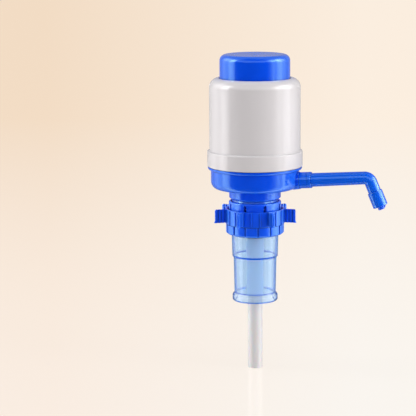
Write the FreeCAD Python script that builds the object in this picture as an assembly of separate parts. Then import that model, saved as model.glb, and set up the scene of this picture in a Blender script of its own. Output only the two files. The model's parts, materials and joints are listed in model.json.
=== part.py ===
"""Hand pump for a water jug: pressing the cap squeezes a bellows, the air goes down
into the jug, and the water rises through the suction tube and leaves at the spout.

Millimetres, +Z up. The origin is the centre of the neck sleeve's lower rim, which sits
in the jug's neck. The spout points along +X and rises a little towards its elbow.
Each function below builds one piece, in place, and the last lines write one STEP each.
"""
import FreeCAD, Part
import math
import os
from FreeCAD import Vector

# ---- clearances and edges -----------------------------------------------------------
FIT = 0.05               # radial, pushed or turning fits of moulded pieces
TOUCH = 0.1              # between faces that meet when the pump works
GAP = 0.3                # between pieces that face each other and don't bear
MOUTH_GAP = 0.45         # radial, press cap in the housing's mouth
VALVE_LIFT = 1.5         # travel of both valve discs
EDGE = 0.3               # radius of small moulded edges
SOFT_EDGE = 0.5          # radius of edges that a hand touches

# ---- neck sleeve, clear -------------------------------------------------------------
SLEEVE_WALL = 1.2
SLEEVE_RIM_R = 19.15     # lower rim, the widest place in the jug's neck
SLEEVE_RIM_H = 4.9
SLEEVE_RIM_FADE = 2.0    # height in which the rim fades into the waist
SLEEVE_RIM_ROUND = 1.2
SLEEVE_WAIST_IN = 1.65   # waist above the rim, slimmer by this
SLEEVE_STEP_IN = 1.05    # top of the slim part, slimmer than the rim by this
SLEEVE_STEP_H = 2.8
SLEEVE_BELLY_H = 18.6    # from the step to the shoulder
SLEEVE_FLARE = 0.6       # shoulder wider than the rim
SLEEVE_SHOULDER_UP = 57.4
SLEEVE_SHOULDER_ROUND = 2.0
SLEEVE_NECK_H = 22.1     # slim neck above the shoulder, gripped by the fingers

# ---- clamp: slotted collar, wing nut, thrust ring -----------------------------------
CLAMP_ANGLE = -75.5      # degrees from +X, the clamp's front: slots and pads are set about it
LUGS_ANGLE = -74.0        # the nut's front stops a little past it
THREAD_OUT = 2.35        # thread's crest outside the sleeve's shoulder
COLLAR_SHOW = 6.6        # collar above the nut, to its top rim
COLLAR_ROUND = 1.2
COLLAR_WALL = 3.85       # round the base's spigot
RECESS_WALL = 1.8        # round the recess in the collar's top
RECESS_DEPTH = 2.8
FINGER_WALL = 5.4        # slotted fingers
FINGER_RELIEF = 1.3      # fingers below the thread are this much slimmer
FINGER_FLARE = 0.3       # finger tips spread by this
FINGER_TIP_H = 2.5       # each slope of the finger's tip
SLOTS = 8
SLOT_WIDTH = 2.5
SLOT_TOP = 1.5           # below the collar's top rim
CLAMP_LIFT = 3.0         # one turn of the nut
RING_H = 8.5
RING_IN = 0.4            # ring slimmer than the nut
RING_CHAMFER_H = 1.4
RING_CHAMFER_R = 1.7
RING_LIP_H = 1.7         # lip that bears on the sleeve's shoulder
PADS = 14
PADS_ANGLE = 6.0         # grooves past the clamp's front
PAD_GROOVE_WIDTH = 1.2
PAD_GROOVE_DEPTH = 1.0
NUT_H = 12.7
NUT_WALL = 2.8           # outside the thread
NUT_MOUTH_H = 1.8
NUT_MOUTH_WALL = 1.3
LUGS = 7
LUG_REACH = 9.8
LUG_T = 2.0
LUG_ROUND = 1.4
LUG_FLARE = 0.7
LUG_FLARE_H = 2.0
LUG_FOOT = 1.2           # lugs start above the nut's lower face
LUG_GROOVES = 3
LUG_GROOVE_WIDTH = 1.1
LUG_GROOVE_DEPTH = 0.35
RIB_WIDTH = 1.0
RIB_HEIGHT = 0.5
ROOT = 1.0               # lugs, ribs and spokes reach this far into what carries them
HOOK_H = 2.9             # ring's spigot that hooks into the nut
HOOK_WALL = 1.1
HOOK_BEAD = 0.6
HOOK_BEAD_H = 0.8

# ---- housing ------------------------------------------------------------------------
HOUSING_WALL = 2.2
HOUSING_H = 73.9
HOUSING_SHOULDER = 7.6
MOUTH_ROUND = 0.6
SKIRT_R = 40.0           # the widest place of the pump
SKIRT_H = 12.7
SKIRT_STEP = 1.8         # skirt wider than the housing above it
SKIRT_STEP_H = 0.9
SKIRT_ROUND = 0.8

# ---- base ---------------------------------------------------------------------------
WALL = 2.25              # base and cap
GROOVE_H = 1.6           # open gap between collar and base
STUB_IN = 0.3            # stub slimmer than the collar
STUB_H = 9.1
STUB_CHAMFER = 1.1
STUB_FOOT_IN = 1.8
STUB_STEP_IN = 2.8
SPIGOT_WALL = 2.2
FLANGE_IN = 0.35         # flange slimmer than the skirt
FLANGE_H = 2.5
FLANGE_ROUND = 1.6
BOWL_IN = 2.6            # bowl slimmer than the flange
BOWL_CORNER = 5.0        # the bowl's floor turns up to its side over this width
BOWL_CURVE_H = 6.0
BOWL_SIDE_H = 10.1
LEDGE_WIDTH = 2.5        # carries the valve deck
LEDGE_H = 2.5
RIM_H = 8.0              # base rim inside the housing
GUIDE_WALL = 1.7         # ring that holds the water elbow
GUIDE_H = 6.0
SPOKES = 3
SPOKE_T = 2.0
SPOKE_ANGLE = 60         # degrees, the first spoke

# ---- press cap and its plate --------------------------------------------------------
PRESS_TRAVEL = 17.0
CAP_PROUD = 2.6          # cap above the housing when it is pressed down
CAP_IN = 1.15            # cap's side inside the housing's shoulder
CAP_ROUND = 5.2
CAP_DISH = 0.8
CAP_DISH_EDGE = 1.0
CAP_FLANGE_WIDTH = 2.0   # stops the cap under the housing's mouth
CAP_FLANGE_H = 1.8
PLATE_CLEAR = 3.0        # plate to the housing's inside
PLATE_T = 2.2
PLATE_SPIGOT_H = 5.0
PLATE_SPIGOT_WALL = 2.0
PLATE_RIM_H = 5.0
PLATE_RIM_WALL = 1.4
VENTS = 3
VENT_ANGLE = 60          # degrees
VENT_WIDTH = 8.0
VENT_H = 1.2

# ---- bellows and return spring ------------------------------------------------------
BELLOWS_WALL = 1.2
BELLOWS_CLEAR = 2.4      # folds to the housing's inside
BELLOWS_DEPTH = 5.2      # of each fold
BELLOWS_ROUND = 0.8
BELLOWS_FOLDS = 6
BELLOWS_FOOT_CLEAR = 0.5
BELLOWS_FOOT_T = 1.5
BELLOWS_TAIL_H = 2.5     # straight part above the foot
CLAMP_RING_WALL = 3.6
CLAMP_RING_T = 2.0
SPRING_R = 16.0
SPRING_WIRE_R = 0.9
SPRING_TURNS = 5
SPRING_STEPS = 24        # straight lengths that make up one turn
SEAT_WALL = 1.2          # rings that centre the spring
SEAT_H = 2.1

# ---- valve deck and valves ----------------------------------------------------------
DECK_T = 2.5
SEAL_T = 1.0
SEAL_WIDTH = 2.2
PORTS = 6                # air holes under each valve disc
PORT_HOLE_R = 2.0
STEM_R = 1.9
STEM_HEAD_R = 3.2
STEM_HEAD_T = 1.0
DISC_T = 1.0
DISC_CLEAR = 0.6         # intake disc inside the spring's seat
INTAKE_HOLES_IN = 4.5    # from the disc's edge to the middle of the holes
OUTLET_DISC_R = 11.0
OUTLET_HOLES_IN = 4.0

# ---- water way ----------------------------------------------------------------------
TUBE_R = 6.2             # suction tube
TUBE_WALL = 1.2
TUBE_DROP = 59.2         # below the neck sleeve's lower face
SOCKET_WALL = 0.9        # round the tube
SOCKET_UP = 3.0          # above that face
SOCKET_GRIP = 31.0       # suction tube inside the socket
BARREL_BULGE = 0.7
BARREL_H = 16.0
BARREL_DROP = 3.4        # below the sleeve's shoulder
WATER_R = 3.6            # water bore
PIPE_WALL = 1.25
RISER_WALL = 1.6
RISER_GRIP = 8.0         # riser ends inside the socket and the elbow
BELL_WALL = 1.4
ELBOW_BEND = 9.0
PIPE_STOP = 2.0          # outlet pipe's start past the elbow's bend
PIPE_PAST = 0.5          # outlet pipe's end past the port's mouth

# ---- spout --------------------------------------------------------------------------
PORT_RISE = 4.3          # degrees above the horizontal
PORT_UP = 7.7            # axis at the port's mouth, above the foot of the bowl
PORT_OUT = 1.95          # port's mouth outside the bowl
PORT_BOSS_R = 7.3
PORT_BOSS_FLARE = 0.2
PORT_BOSS_ROOT = 2.0     # boss starts this far inside the bowl's wall
PORT_SPIGOT_H = 4.0
CUFF_WALL = 0.75
CUFF_GRIP = 0.5          # cuff slimmer than the boss
CUFF_H = 9.8
CUFF_LIP_H = 3.7
SPOUT_FLANGE_T = 1.8
SPOUT_LIP = 0.75         # cuff's lip over the spout's flange
SPOUT_ROOT_STEP = 0.45   # tube wider than its neck
SPOUT_TAPER = 0.4        # tube slimmer at its elbow than at its root
SPOUT_REACH = 58.5       # port mouth to the elbow's corner
SPOUT_BEND = 5.6
SPOUT_TURN = 71.5        # degrees, downwards
SPOUT_WALL = 1.55
NOSE_LENGTH = 3.4
NOSE_WALL = 1.0
ORING_R = 0.6

# ---- nozzle sleeve, dust plug and strap ---------------------------------------------
NOZZLE_LENGTH = 25.4     # elbow's corner to the mouth
NOZZLE_SLEEVE_WALL = 0.83
NOZZLE_SLEEVE_H = 13.0
MOUTH_LIP = 0.1          # mouth narrower than the tube inside the sleeve
MOUTH_DEPTH = 2.2
PLUG_CLEAR = 0.55
PLUG_T = 2.0
PLUG_CHAMFER = 0.5
PLUG_TIP_CLEAR = 0.5     # tip in the tube's bore
PLUG_TIP_H = 1.8
PLUG_TIP_CHAMFER = 0.8
PLUG_LIFT = 0.2          # tab over the nozzle's end
KNOB_R = 2.75            # grip in the middle of the plug
KNOB_H = 2.8             # past the nozzle's end
TAB_WIDTH = 4.8          # from the knob to the hinge
TAB_T = 2.0
HINGE_OUT = 0.37         # strap's bend outside the nozzle sleeve
STRAP_T = 1.2
STRAP_WIDTH = 4.0
STRAP_ROOT = 11.5        # above the mouth
STRAP_LEG = 3.0          # straight part at each end of the loop

# ---- radii that follow --------------------------------------------------------------
SLEEVE_WAIST_R = SLEEVE_RIM_R - SLEEVE_WAIST_IN
SLEEVE_STEP_R = SLEEVE_RIM_R - SLEEVE_STEP_IN
SLEEVE_SHOULDER_R = SLEEVE_RIM_R + SLEEVE_FLARE
THREAD_R = SLEEVE_SHOULDER_R + THREAD_OUT
FINGER_R = THREAD_R - FINGER_RELIEF
FINGER_BORE = THREAD_R - FINGER_WALL
SLEEVE_NECK_R = FINGER_BORE - GAP
SPIGOT_R = THREAD_R - COLLAR_WALL - FIT
SPIGOT_BORE_R = SPIGOT_R - SPIGOT_WALL
RECESS_R = THREAD_R - RECESS_WALL
NUT_R = THREAD_R + NUT_WALL
LUG_R = NUT_R + LUG_REACH
RING_R = NUT_R - RING_IN
RING_BORE = FINGER_R + FINGER_FLARE + GAP
HOOK_R = RING_BORE + HOOK_WALL
STUB_R = THREAD_R - STUB_IN
SKIRT_BORE = SKIRT_R - HOUSING_WALL
HOUSING_R = SKIRT_R - SKIRT_STEP
HOUSING_BORE = HOUSING_R - HOUSING_WALL
CAP_R = HOUSING_R - HOUSING_SHOULDER - CAP_IN
CAP_BORE = CAP_R - WALL
CAP_FLANGE_R = CAP_R + CAP_FLANGE_WIDTH
PLATE_R = HOUSING_BORE - PLATE_CLEAR
RIM_R = SKIRT_BORE - GAP
RIM_BORE = RIM_R - HOUSING_WALL
DECK_R = RIM_BORE - FIT
BELLOWS_PEAK_R = HOUSING_BORE - BELLOWS_CLEAR
BELLOWS_ROOT_R = BELLOWS_PEAK_R - BELLOWS_DEPTH
BELLOWS_FOOT_R = RIM_BORE - BELLOWS_FOOT_CLEAR
PLATE_RIM_R = BELLOWS_ROOT_R + TOUCH
FLANGE_R = SKIRT_R - FLANGE_IN
BOWL_R = FLANGE_R - BOWL_IN
BOWL_BORE = BOWL_R - WALL
SEAT_R = SPRING_R - SPRING_WIRE_R - GAP
INTAKE_DISC_R = SEAT_R - SEAT_WALL - DISC_CLEAR
SOCKET_R = TUBE_R + SOCKET_WALL
BARREL_R = SOCKET_R + BARREL_BULGE
PIPE_R = WATER_R + PIPE_WALL
RISER_R = WATER_R + RISER_WALL
BELL_R = RISER_R + FIT + BELL_WALL
CUFF_R = PORT_BOSS_R - CUFF_GRIP
CUFF_BORE = CUFF_R - CUFF_WALL
SPOUT_NECK_R = CUFF_BORE - SPOUT_LIP
SPOUT_ROOT_R = SPOUT_NECK_R + SPOUT_ROOT_STEP
SPOUT_TIP_R = SPOUT_ROOT_R - SPOUT_TAPER
SPOUT_BORE_R = SPOUT_TIP_R - SPOUT_WALL
NOZZLE_SLEEVE_R = SPOUT_TIP_R + FIT + NOZZLE_SLEEVE_WALL
MOUTH_R = SPOUT_TIP_R - MOUTH_LIP
PLUG_R = MOUTH_R - PLUG_CLEAR
PLUG_TIP_R = SPOUT_BORE_R - PLUG_TIP_CLEAR
HINGE_Y = NOZZLE_SLEEVE_R + HINGE_OUT

# ---- heights that follow ------------------------------------------------------------
FOOT = -SLEEVE_RIM_H / 2
SLEEVE_SHOULDER_Z = FOOT + SLEEVE_SHOULDER_UP
SLEEVE_BELLY_Z = SLEEVE_SHOULDER_Z - SLEEVE_BELLY_H
SLEEVE_STEP_Z = SLEEVE_BELLY_Z - SLEEVE_STEP_H
SLEEVE_TOP = SLEEVE_SHOULDER_Z + SLEEVE_NECK_H
SOCKET_Z = FOOT + SOCKET_UP
WEB_Z = SOCKET_Z + SOCKET_GRIP
BARREL_TOP = SLEEVE_SHOULDER_Z - BARREL_DROP
RING_Z = SLEEVE_SHOULDER_Z
RING_TOP = RING_Z + RING_H
NUT_Z = RING_TOP + GAP
NUT_TOP = NUT_Z + NUT_H
COLLAR_Z = NUT_TOP + COLLAR_SHOW
RECESS_Z = COLLAR_Z - RECESS_DEPTH
SPIGOT_Z = SLEEVE_TOP + SEAL_T + SOFT_EDGE
STUB_Z = COLLAR_Z + GROOVE_H
BOWL_Z = STUB_Z + STUB_H
BOWL_SIDE_Z = BOWL_Z + BOWL_CURVE_H
FLANGE_Z = BOWL_SIDE_Z + BOWL_SIDE_H
RIM_Z = FLANGE_Z + FLANGE_H
RIM_TOP = RIM_Z + RIM_H
HOUSING_Z = RIM_Z + GAP
HOUSING_TOP = HOUSING_Z + HOUSING_H
SKIRT_TOP = HOUSING_Z + SKIRT_H
CAP_TOP = HOUSING_TOP + PRESS_TRAVEL + CAP_PROUD
PLATE_TOP = HOUSING_TOP - HOUSING_WALL - GAP - CAP_FLANGE_H
PLATE_Z = PLATE_TOP - PLATE_T
SEAL_Z = FLANGE_Z + LEDGE_H - GAP
DECK_Z = SEAL_Z + SEAL_T
FOOT_Z = DECK_Z + DECK_T

# ---- the port and the elbow that follow ---------------------------------------------
PORT_DIRECTION = Vector(math.cos(math.radians(PORT_RISE)), 0, math.sin(math.radians(PORT_RISE)))
PORT_X = BOWL_R + PORT_OUT
PORT_ORIGIN = Vector(0, 0, BOWL_Z + PORT_UP - PORT_X * math.tan(math.radians(PORT_RISE)))
PORT_MOUTH = PORT_X / math.cos(math.radians(PORT_RISE))
ELBOW_TURN = 90.0 - PORT_RISE
ELBOW_LEG = ELBOW_BEND * math.tan(math.radians(ELBOW_TURN / 2))
ELBOW_FOOT_Z = PORT_ORIGIN.z - ELBOW_LEG
PIPE_START = ELBOW_LEG + PIPE_STOP

# ---- distances along the port's axis ------------------------------------------------
CUFF_START = PORT_MOUTH + TOUCH
CUFF_END = CUFF_START + CUFF_H
CUFF_LIP = CUFF_END - CUFF_LIP_H
SPOUT_FLANGE_END = CUFF_LIP - 2 * TOUCH
SPOUT_FLANGE_START = SPOUT_FLANGE_END - SPOUT_FLANGE_T
NOSE_START = SPOUT_FLANGE_START - NOSE_LENGTH
NOSE_R = PIPE_R - FIT - 2 * ORING_R

ELLIPSE = "ellipse"      # a corner replaced by a quarter ellipse between its neighbours
BULGE = "bulge"          # a point that an arc between its neighbours passes through


# ---- shape helpers ------------------------------------------------------------------
def on_xz(x, y):
    return Vector(x, 0, y)


def outline(points, plane=on_xz):
    """Closed wire through (x, y) points; a third value rounds that corner."""
    spots = [plane(p[0], p[1]) for p in points]
    marks = [p[2] if len(p) > 2 else 0 for p in points]
    count = len(points)
    bends = []
    for i in range(count):
        before, corner, after = spots[i - 1], spots[i], spots[(i + 1) % count]
        if marks[i] in (ELLIPSE, BULGE):
            bends.append((before, after))
        elif marks[i]:
            a = (before - corner).normalize()
            b = (after - corner).normalize()
            half = a.getAngle(b) / 2
            cut = marks[i] / math.tan(half)
            bends.append((corner + a * cut, corner + b * cut))
        else:
            bends.append((corner, corner))
    edges = []
    for i in range(count):
        start, end = bends[i]
        corner = spots[i]
        if marks[i] == ELLIPSE:
            curve = Part.BezierCurve()
            curve.setPoles([start, corner, end])
            curve.setWeight(2, math.cos(math.pi / 4))
            edges.append(curve.toShape())
        elif marks[i] == BULGE:
            edges.append(Part.Arc(start, corner, end).toShape())
        elif marks[i]:
            a = (start - corner).normalize()
            b = (end - corner).normalize()
            middle = (a + b).normalize()
            half = a.getAngle(b) / 2
            reach = marks[i] / math.sin(half) - marks[i]
            edges.append(Part.Arc(start, corner + middle * reach, end).toShape())
        following = bends[(i + 1) % count][0]
        curved_next = marks[(i + 1) % count] in (ELLIPSE, BULGE)
        curved_here = marks[i] in (ELLIPSE, BULGE)
        if not curved_next and not curved_here and (following - end).Length > 1e-6:
            edges.append(Part.LineSegment(end, following).toShape())
    return Part.Wire(Part.__sortEdges__(edges))


def turned(points):
    """Solid of revolution about Z from (radius, height) points."""
    face = Part.Face(outline(points))
    return face.revolve(Vector(0, 0, 0), Vector(0, 0, 1), 360)


def cylinder(radius, z0, z1, x=0.0, y=0.0):
    return Part.makeCylinder(radius, z1 - z0, Vector(x, y, z0))


def pipe(outer, inner, z0, z1):
    return cylinder(outer, z0, z1).cut(cylinder(inner, z0, z1))


def block(x0, x1, y0, y1, z0, z1):
    return Part.makeBox(x1 - x0, y1 - y0, z1 - z0, Vector(x0, y0, z0))


def round_z(shape, count, start=0.0):
    """Copies of a shape spread evenly about Z, the first at the start angle."""
    copies = []
    for i in range(count):
        one = shape.copy()
        one.rotate(Vector(0, 0, 0), Vector(0, 0, 1), start + 360.0 / count * i)
        copies.append(one)
    return copies


def joined(shapes):
    return shapes[0].multiFuse(shapes[1:]).removeSplitter()


def placed(shape, base, direction):
    """The shape with its own Z axis laid along a direction and its origin at base."""
    moved = shape.copy()
    turn = FreeCAD.Rotation(Vector(0, 0, 1), direction)
    moved.Placement = FreeCAD.Placement(base, turn).multiply(moved.Placement)
    return moved


def on_port(shape):
    return placed(shape, PORT_ORIGIN, PORT_DIRECTION)


# ---- press group --------------------------------------------------------------------
def press_cap():
    shell = turned([
        (0, CAP_TOP - CAP_DISH),
        (0, CAP_TOP - WALL - CAP_DISH),
        (CAP_BORE, CAP_TOP - WALL - CAP_DISH, CAP_ROUND - WALL),
        (CAP_BORE, PLATE_TOP),
        (CAP_FLANGE_R, PLATE_TOP),
        (CAP_FLANGE_R, PLATE_TOP + CAP_FLANGE_H),
        (CAP_R, PLATE_TOP + CAP_FLANGE_H),
        (CAP_R, CAP_TOP, CAP_ROUND),
        (CAP_R - CAP_ROUND - CAP_DISH_EDGE, CAP_TOP),
    ])
    half = VENT_WIDTH / 2
    vent = block(0, CAP_FLANGE_R, -half, half, PLATE_TOP, PLATE_TOP + VENT_H)
    return shell.cut(Part.makeCompound(round_z(vent, VENTS, VENT_ANGLE)))


def press_plate():
    disc = cylinder(PLATE_R, PLATE_Z, PLATE_TOP)
    spigot_r = CAP_BORE - FIT
    spigot_top = PLATE_TOP + PLATE_SPIGOT_H
    spigot = pipe(spigot_r, spigot_r - PLATE_SPIGOT_WALL, PLATE_TOP, spigot_top)
    gate = block(0, CAP_R, -VENT_WIDTH / 2, VENT_WIDTH / 2, PLATE_TOP, spigot_top)
    spigot = spigot.cut(Part.makeCompound(round_z(gate, VENTS, VENT_ANGLE)))
    rim = pipe(PLATE_RIM_R, PLATE_RIM_R - PLATE_RIM_WALL, PLATE_Z - PLATE_RIM_H, PLATE_Z)
    seat = pipe(SEAT_R, SEAT_R - SEAT_WALL, PLATE_Z - SEAT_H, PLATE_Z)
    plate = joined([disc, spigot, rim, seat])
    return plate.cut(valve_holes(INTAKE_DISC_R - INTAKE_HOLES_IN, PLATE_Z, PLATE_TOP))


def valve_holes(circle, z0, z1):
    """A ring of air holes and the guide hole of the valve's stem."""
    hole = cylinder(PORT_HOLE_R, z0, z1, x=circle)
    stem = cylinder(STEM_R + FIT, z0, z1)
    return Part.makeCompound(round_z(hole, PORTS) + [stem])


def valve(disc_r, z0, z1):
    """A disc just under a plate from z0 to z1, with a headed stem through the plate."""
    disc_top = z0 - TOUCH
    head_z = z1 + VALVE_LIFT + TOUCH
    return turned([
        (0, disc_top - DISC_T),
        (disc_r, disc_top - DISC_T, EDGE),
        (disc_r, disc_top),
        (STEM_R, disc_top),
        (STEM_R, head_z),
        (STEM_HEAD_R, head_z),
        (STEM_HEAD_R, head_z + STEM_HEAD_T, SOFT_EDGE),
        (0, head_z + STEM_HEAD_T),
    ])


def intake_valve():
    return valve(INTAKE_DISC_R, PLATE_Z, PLATE_TOP)


def bellows():
    foot_top = FOOT_Z + BELLOWS_FOOT_T
    fold_z = foot_top + BELLOWS_TAIL_H
    neck_z = PLATE_Z - PLATE_RIM_H - SOFT_EDGE
    neck_in = PLATE_RIM_R + FIT
    neck_out = neck_in + BELLOWS_WALL
    root_in = BELLOWS_ROOT_R - BELLOWS_WALL
    pitch = (neck_z - fold_z) / BELLOWS_FOLDS
    outside = [(BELLOWS_FOOT_R, FOOT_Z), (BELLOWS_FOOT_R, foot_top)]
    outside += [(BELLOWS_ROOT_R, foot_top), (BELLOWS_ROOT_R, fold_z)]
    inside = [(root_in, FOOT_Z), (root_in, fold_z)]
    for i in range(BELLOWS_FOLDS):
        peak_z = fold_z + pitch * (i + 0.5)
        root_z = fold_z + pitch * (i + 1)
        outside.append((BELLOWS_PEAK_R, peak_z, BELLOWS_ROUND))
        inside.append((BELLOWS_PEAK_R - BELLOWS_WALL, peak_z))
        if i < BELLOWS_FOLDS - 1:
            outside.append((BELLOWS_ROOT_R, root_z))
            inside.append((root_in, root_z))
    outside += [(neck_out, neck_z), (neck_out, PLATE_Z - TOUCH)]
    inside += [(neck_in, neck_z), (neck_in, PLATE_Z - TOUCH)]
    return turned(outside + inside[::-1])


def return_spring():
    """A coil of straight lengths, mitred together."""
    low = FOOT_Z + SPRING_WIRE_R + TOUCH
    high = PLATE_Z - SPRING_WIRE_R - TOUCH
    count = SPRING_TURNS * SPRING_STEPS
    points = []
    for i in range(count + 1):
        angle = 2 * math.pi * i / SPRING_STEPS
        height = low + (high - low) * i / count
        points.append(Vector(SPRING_R * math.cos(angle), SPRING_R * math.sin(angle), height))
    section = Part.Wire(Part.makeCircle(SPRING_WIRE_R, points[0], points[1] - points[0]))
    mitred = 1
    return Part.makePolygon(points).makePipeShell([section], True, False, mitred)


# ---- housing and base ---------------------------------------------------------------
def housing():
    mouth = CAP_R + MOUTH_GAP
    return turned([
        (SKIRT_BORE, HOUSING_Z),
        (SKIRT_R, HOUSING_Z, SOFT_EDGE),
        (SKIRT_R, SKIRT_TOP, SKIRT_ROUND),
        (HOUSING_R, SKIRT_TOP + SKIRT_STEP_H, SKIRT_ROUND),
        (HOUSING_R, HOUSING_TOP, HOUSING_SHOULDER),
        (mouth, HOUSING_TOP, MOUTH_ROUND),
        (mouth, HOUSING_TOP - HOUSING_WALL),
        (HOUSING_BORE, HOUSING_TOP - HOUSING_WALL, HOUSING_SHOULDER - HOUSING_WALL),
        (HOUSING_BORE, SKIRT_TOP - HOUSING_WALL),
        (SKIRT_BORE, SKIRT_TOP - HOUSING_WALL),
    ])


def pump_base():
    neck_bore = STUB_R - WALL
    ledge_r = RIM_BORE - LEDGE_WIDTH
    floor_z = BOWL_Z + WALL
    seat_z = RECESS_Z + SEAL_T
    outer = turned([
        (0, SPIGOT_Z),
        (SPIGOT_R, SPIGOT_Z),
        (SPIGOT_R, seat_z),
        (STUB_R - STUB_STEP_IN, seat_z),
        (STUB_R - STUB_STEP_IN, STUB_Z),
        (STUB_R - STUB_FOOT_IN, STUB_Z),
        (STUB_R, STUB_Z + STUB_CHAMFER, SOFT_EDGE),
        (STUB_R, BOWL_Z),
        (BOWL_R - BOWL_CORNER, BOWL_Z),
        (BOWL_R, BOWL_Z, ELLIPSE),
        (BOWL_R, BOWL_SIDE_Z),
        (BOWL_R, FLANGE_Z),
        (FLANGE_R, FLANGE_Z, FLANGE_ROUND),
        (FLANGE_R, RIM_Z),
        (RIM_R, RIM_Z),
        (RIM_R, RIM_TOP, SOFT_EDGE),
        (0, RIM_TOP),
    ])
    hollow = turned([
        (0, SPIGOT_Z),
        (SPIGOT_BORE_R, SPIGOT_Z),
        (SPIGOT_BORE_R, BOWL_Z - WALL),
        (neck_bore, BOWL_Z - WALL),
        (neck_bore, floor_z),
        (BOWL_R - BOWL_CORNER, floor_z),
        (BOWL_BORE, floor_z, ELLIPSE),
        (BOWL_BORE, BOWL_SIDE_Z),
        (BOWL_BORE, SEAL_Z - LEDGE_H),
        (ledge_r, SEAL_Z - LEDGE_H),
        (ledge_r, SEAL_Z),
        (RIM_BORE, SEAL_Z),
        (RIM_BORE, RIM_TOP),
        (0, RIM_TOP),
    ])
    boss_start = BOWL_BORE - PORT_BOSS_ROOT
    boss_end = PORT_MOUTH + PORT_SPIGOT_H
    boss = on_port(turned([
        (0, boss_start),
        (PORT_BOSS_R + PORT_BOSS_FLARE, boss_start),
        (PORT_BOSS_R + PORT_BOSS_FLARE, BOWL_BORE),
        (PORT_BOSS_R, PORT_MOUTH, SOFT_EDGE),
        (CUFF_BORE - FIT, PORT_MOUTH),
        (CUFF_BORE - FIT, boss_end),
        (0, boss_end),
    ]))
    bore = on_port(cylinder(PIPE_R + FIT, neck_bore - ROOT, boss_end))
    shell = outer.fuse(boss).cut(hollow).cut(bore)
    guide_z = ELBOW_FOOT_Z - GUIDE_H
    guide_bore = BELL_R + FIT
    guide = cylinder(guide_bore + GUIDE_WALL, guide_z, ELBOW_FOOT_Z)
    half = SPOKE_T / 2
    spoke = block(0, SPIGOT_BORE_R + ROOT, -half, half, guide_z, ELBOW_FOOT_Z)
    spider = joined([shell, guide] + round_z(spoke, SPOKES, SPOKE_ANGLE))
    return spider.cut(cylinder(guide_bore, SPIGOT_Z, ELBOW_FOOT_Z))


def neck_seal():
    """Lies in the collar's recess, round the base's spigot."""
    return pipe(RECESS_R - FIT, SPIGOT_R + FIT, RECESS_Z, RECESS_Z + SEAL_T)


def valve_deck():
    disc = cylinder(DECK_R, DECK_Z, FOOT_Z)
    seat = pipe(SEAT_R, SEAT_R - SEAT_WALL, FOOT_Z, FOOT_Z + SEAT_H)
    holes = valve_holes(OUTLET_DISC_R - OUTLET_HOLES_IN, DECK_Z, FOOT_Z)
    return disc.fuse(seat).cut(holes)


def deck_seal():
    return pipe(DECK_R, DECK_R - SEAL_WIDTH, SEAL_Z, SEAL_Z + SEAL_T)


def outlet_valve():
    return valve(OUTLET_DISC_R, DECK_Z, FOOT_Z)


def bellows_clamp():
    z0 = FOOT_Z + BELLOWS_FOOT_T
    return pipe(DECK_R, DECK_R - CLAMP_RING_WALL, z0, z0 + CLAMP_RING_T)


# ---- water way ----------------------------------------------------------------------
def bend(radius, bend_r, turn, z):
    """A bend that starts upwards at height z on the Z axis and leans towards +X."""
    disc = Part.Face(Part.Wire(Part.makeCircle(radius, Vector(0, 0, z), Vector(0, 0, 1))))
    return disc.revolve(Vector(bend_r, 0, z), Vector(0, 1, 0), turn)


def water_elbow():
    bell_z = ELBOW_FOOT_Z - RISER_GRIP - GAP
    end = PIPE_START + RISER_GRIP
    outside = joined([
        cylinder(BELL_R, bell_z, ELBOW_FOOT_Z),
        bend(PIPE_R, ELBOW_BEND, ELBOW_TURN, ELBOW_FOOT_Z),
        on_port(cylinder(PIPE_R + FIT + BELL_WALL, ELBOW_LEG, end)),
    ])
    inside = joined([
        cylinder(WATER_R, bell_z, ELBOW_FOOT_Z),
        bend(WATER_R, ELBOW_BEND, ELBOW_TURN, ELBOW_FOOT_Z),
        on_port(cylinder(WATER_R, ELBOW_LEG, end)),
        cylinder(RISER_R + FIT, bell_z, ELBOW_FOOT_Z - GAP),
        on_port(cylinder(PIPE_R + FIT, PIPE_START, end)),
    ])
    return outside.cut(inside)


def outlet_pipe():
    return on_port(pipe(PIPE_R, WATER_R, PIPE_START, PORT_MOUTH + PIPE_PAST))


def riser_pipe():
    return pipe(RISER_R, WATER_R, BARREL_TOP - RISER_GRIP, ELBOW_FOOT_Z - GAP)


def hose_socket():
    barrel_z = BARREL_TOP - BARREL_H
    body = turned([
        (0, SOCKET_Z),
        (SOCKET_R, SOCKET_Z, EDGE),
        (SOCKET_R, barrel_z),
        (BARREL_R, barrel_z + BARREL_H / 2, BULGE),
        (SOCKET_R, BARREL_TOP),
        (0, BARREL_TOP),
    ])
    hollow = joined([
        cylinder(TUBE_R + FIT, SOCKET_Z, WEB_Z),
        cylinder(WATER_R, WEB_Z, BARREL_TOP),
        cylinder(RISER_R + FIT, BARREL_TOP - RISER_GRIP, BARREL_TOP),
    ])
    return body.cut(hollow)


def suction_tube():
    return pipe(TUBE_R, TUBE_R - TUBE_WALL, FOOT - TUBE_DROP, WEB_Z)


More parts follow.
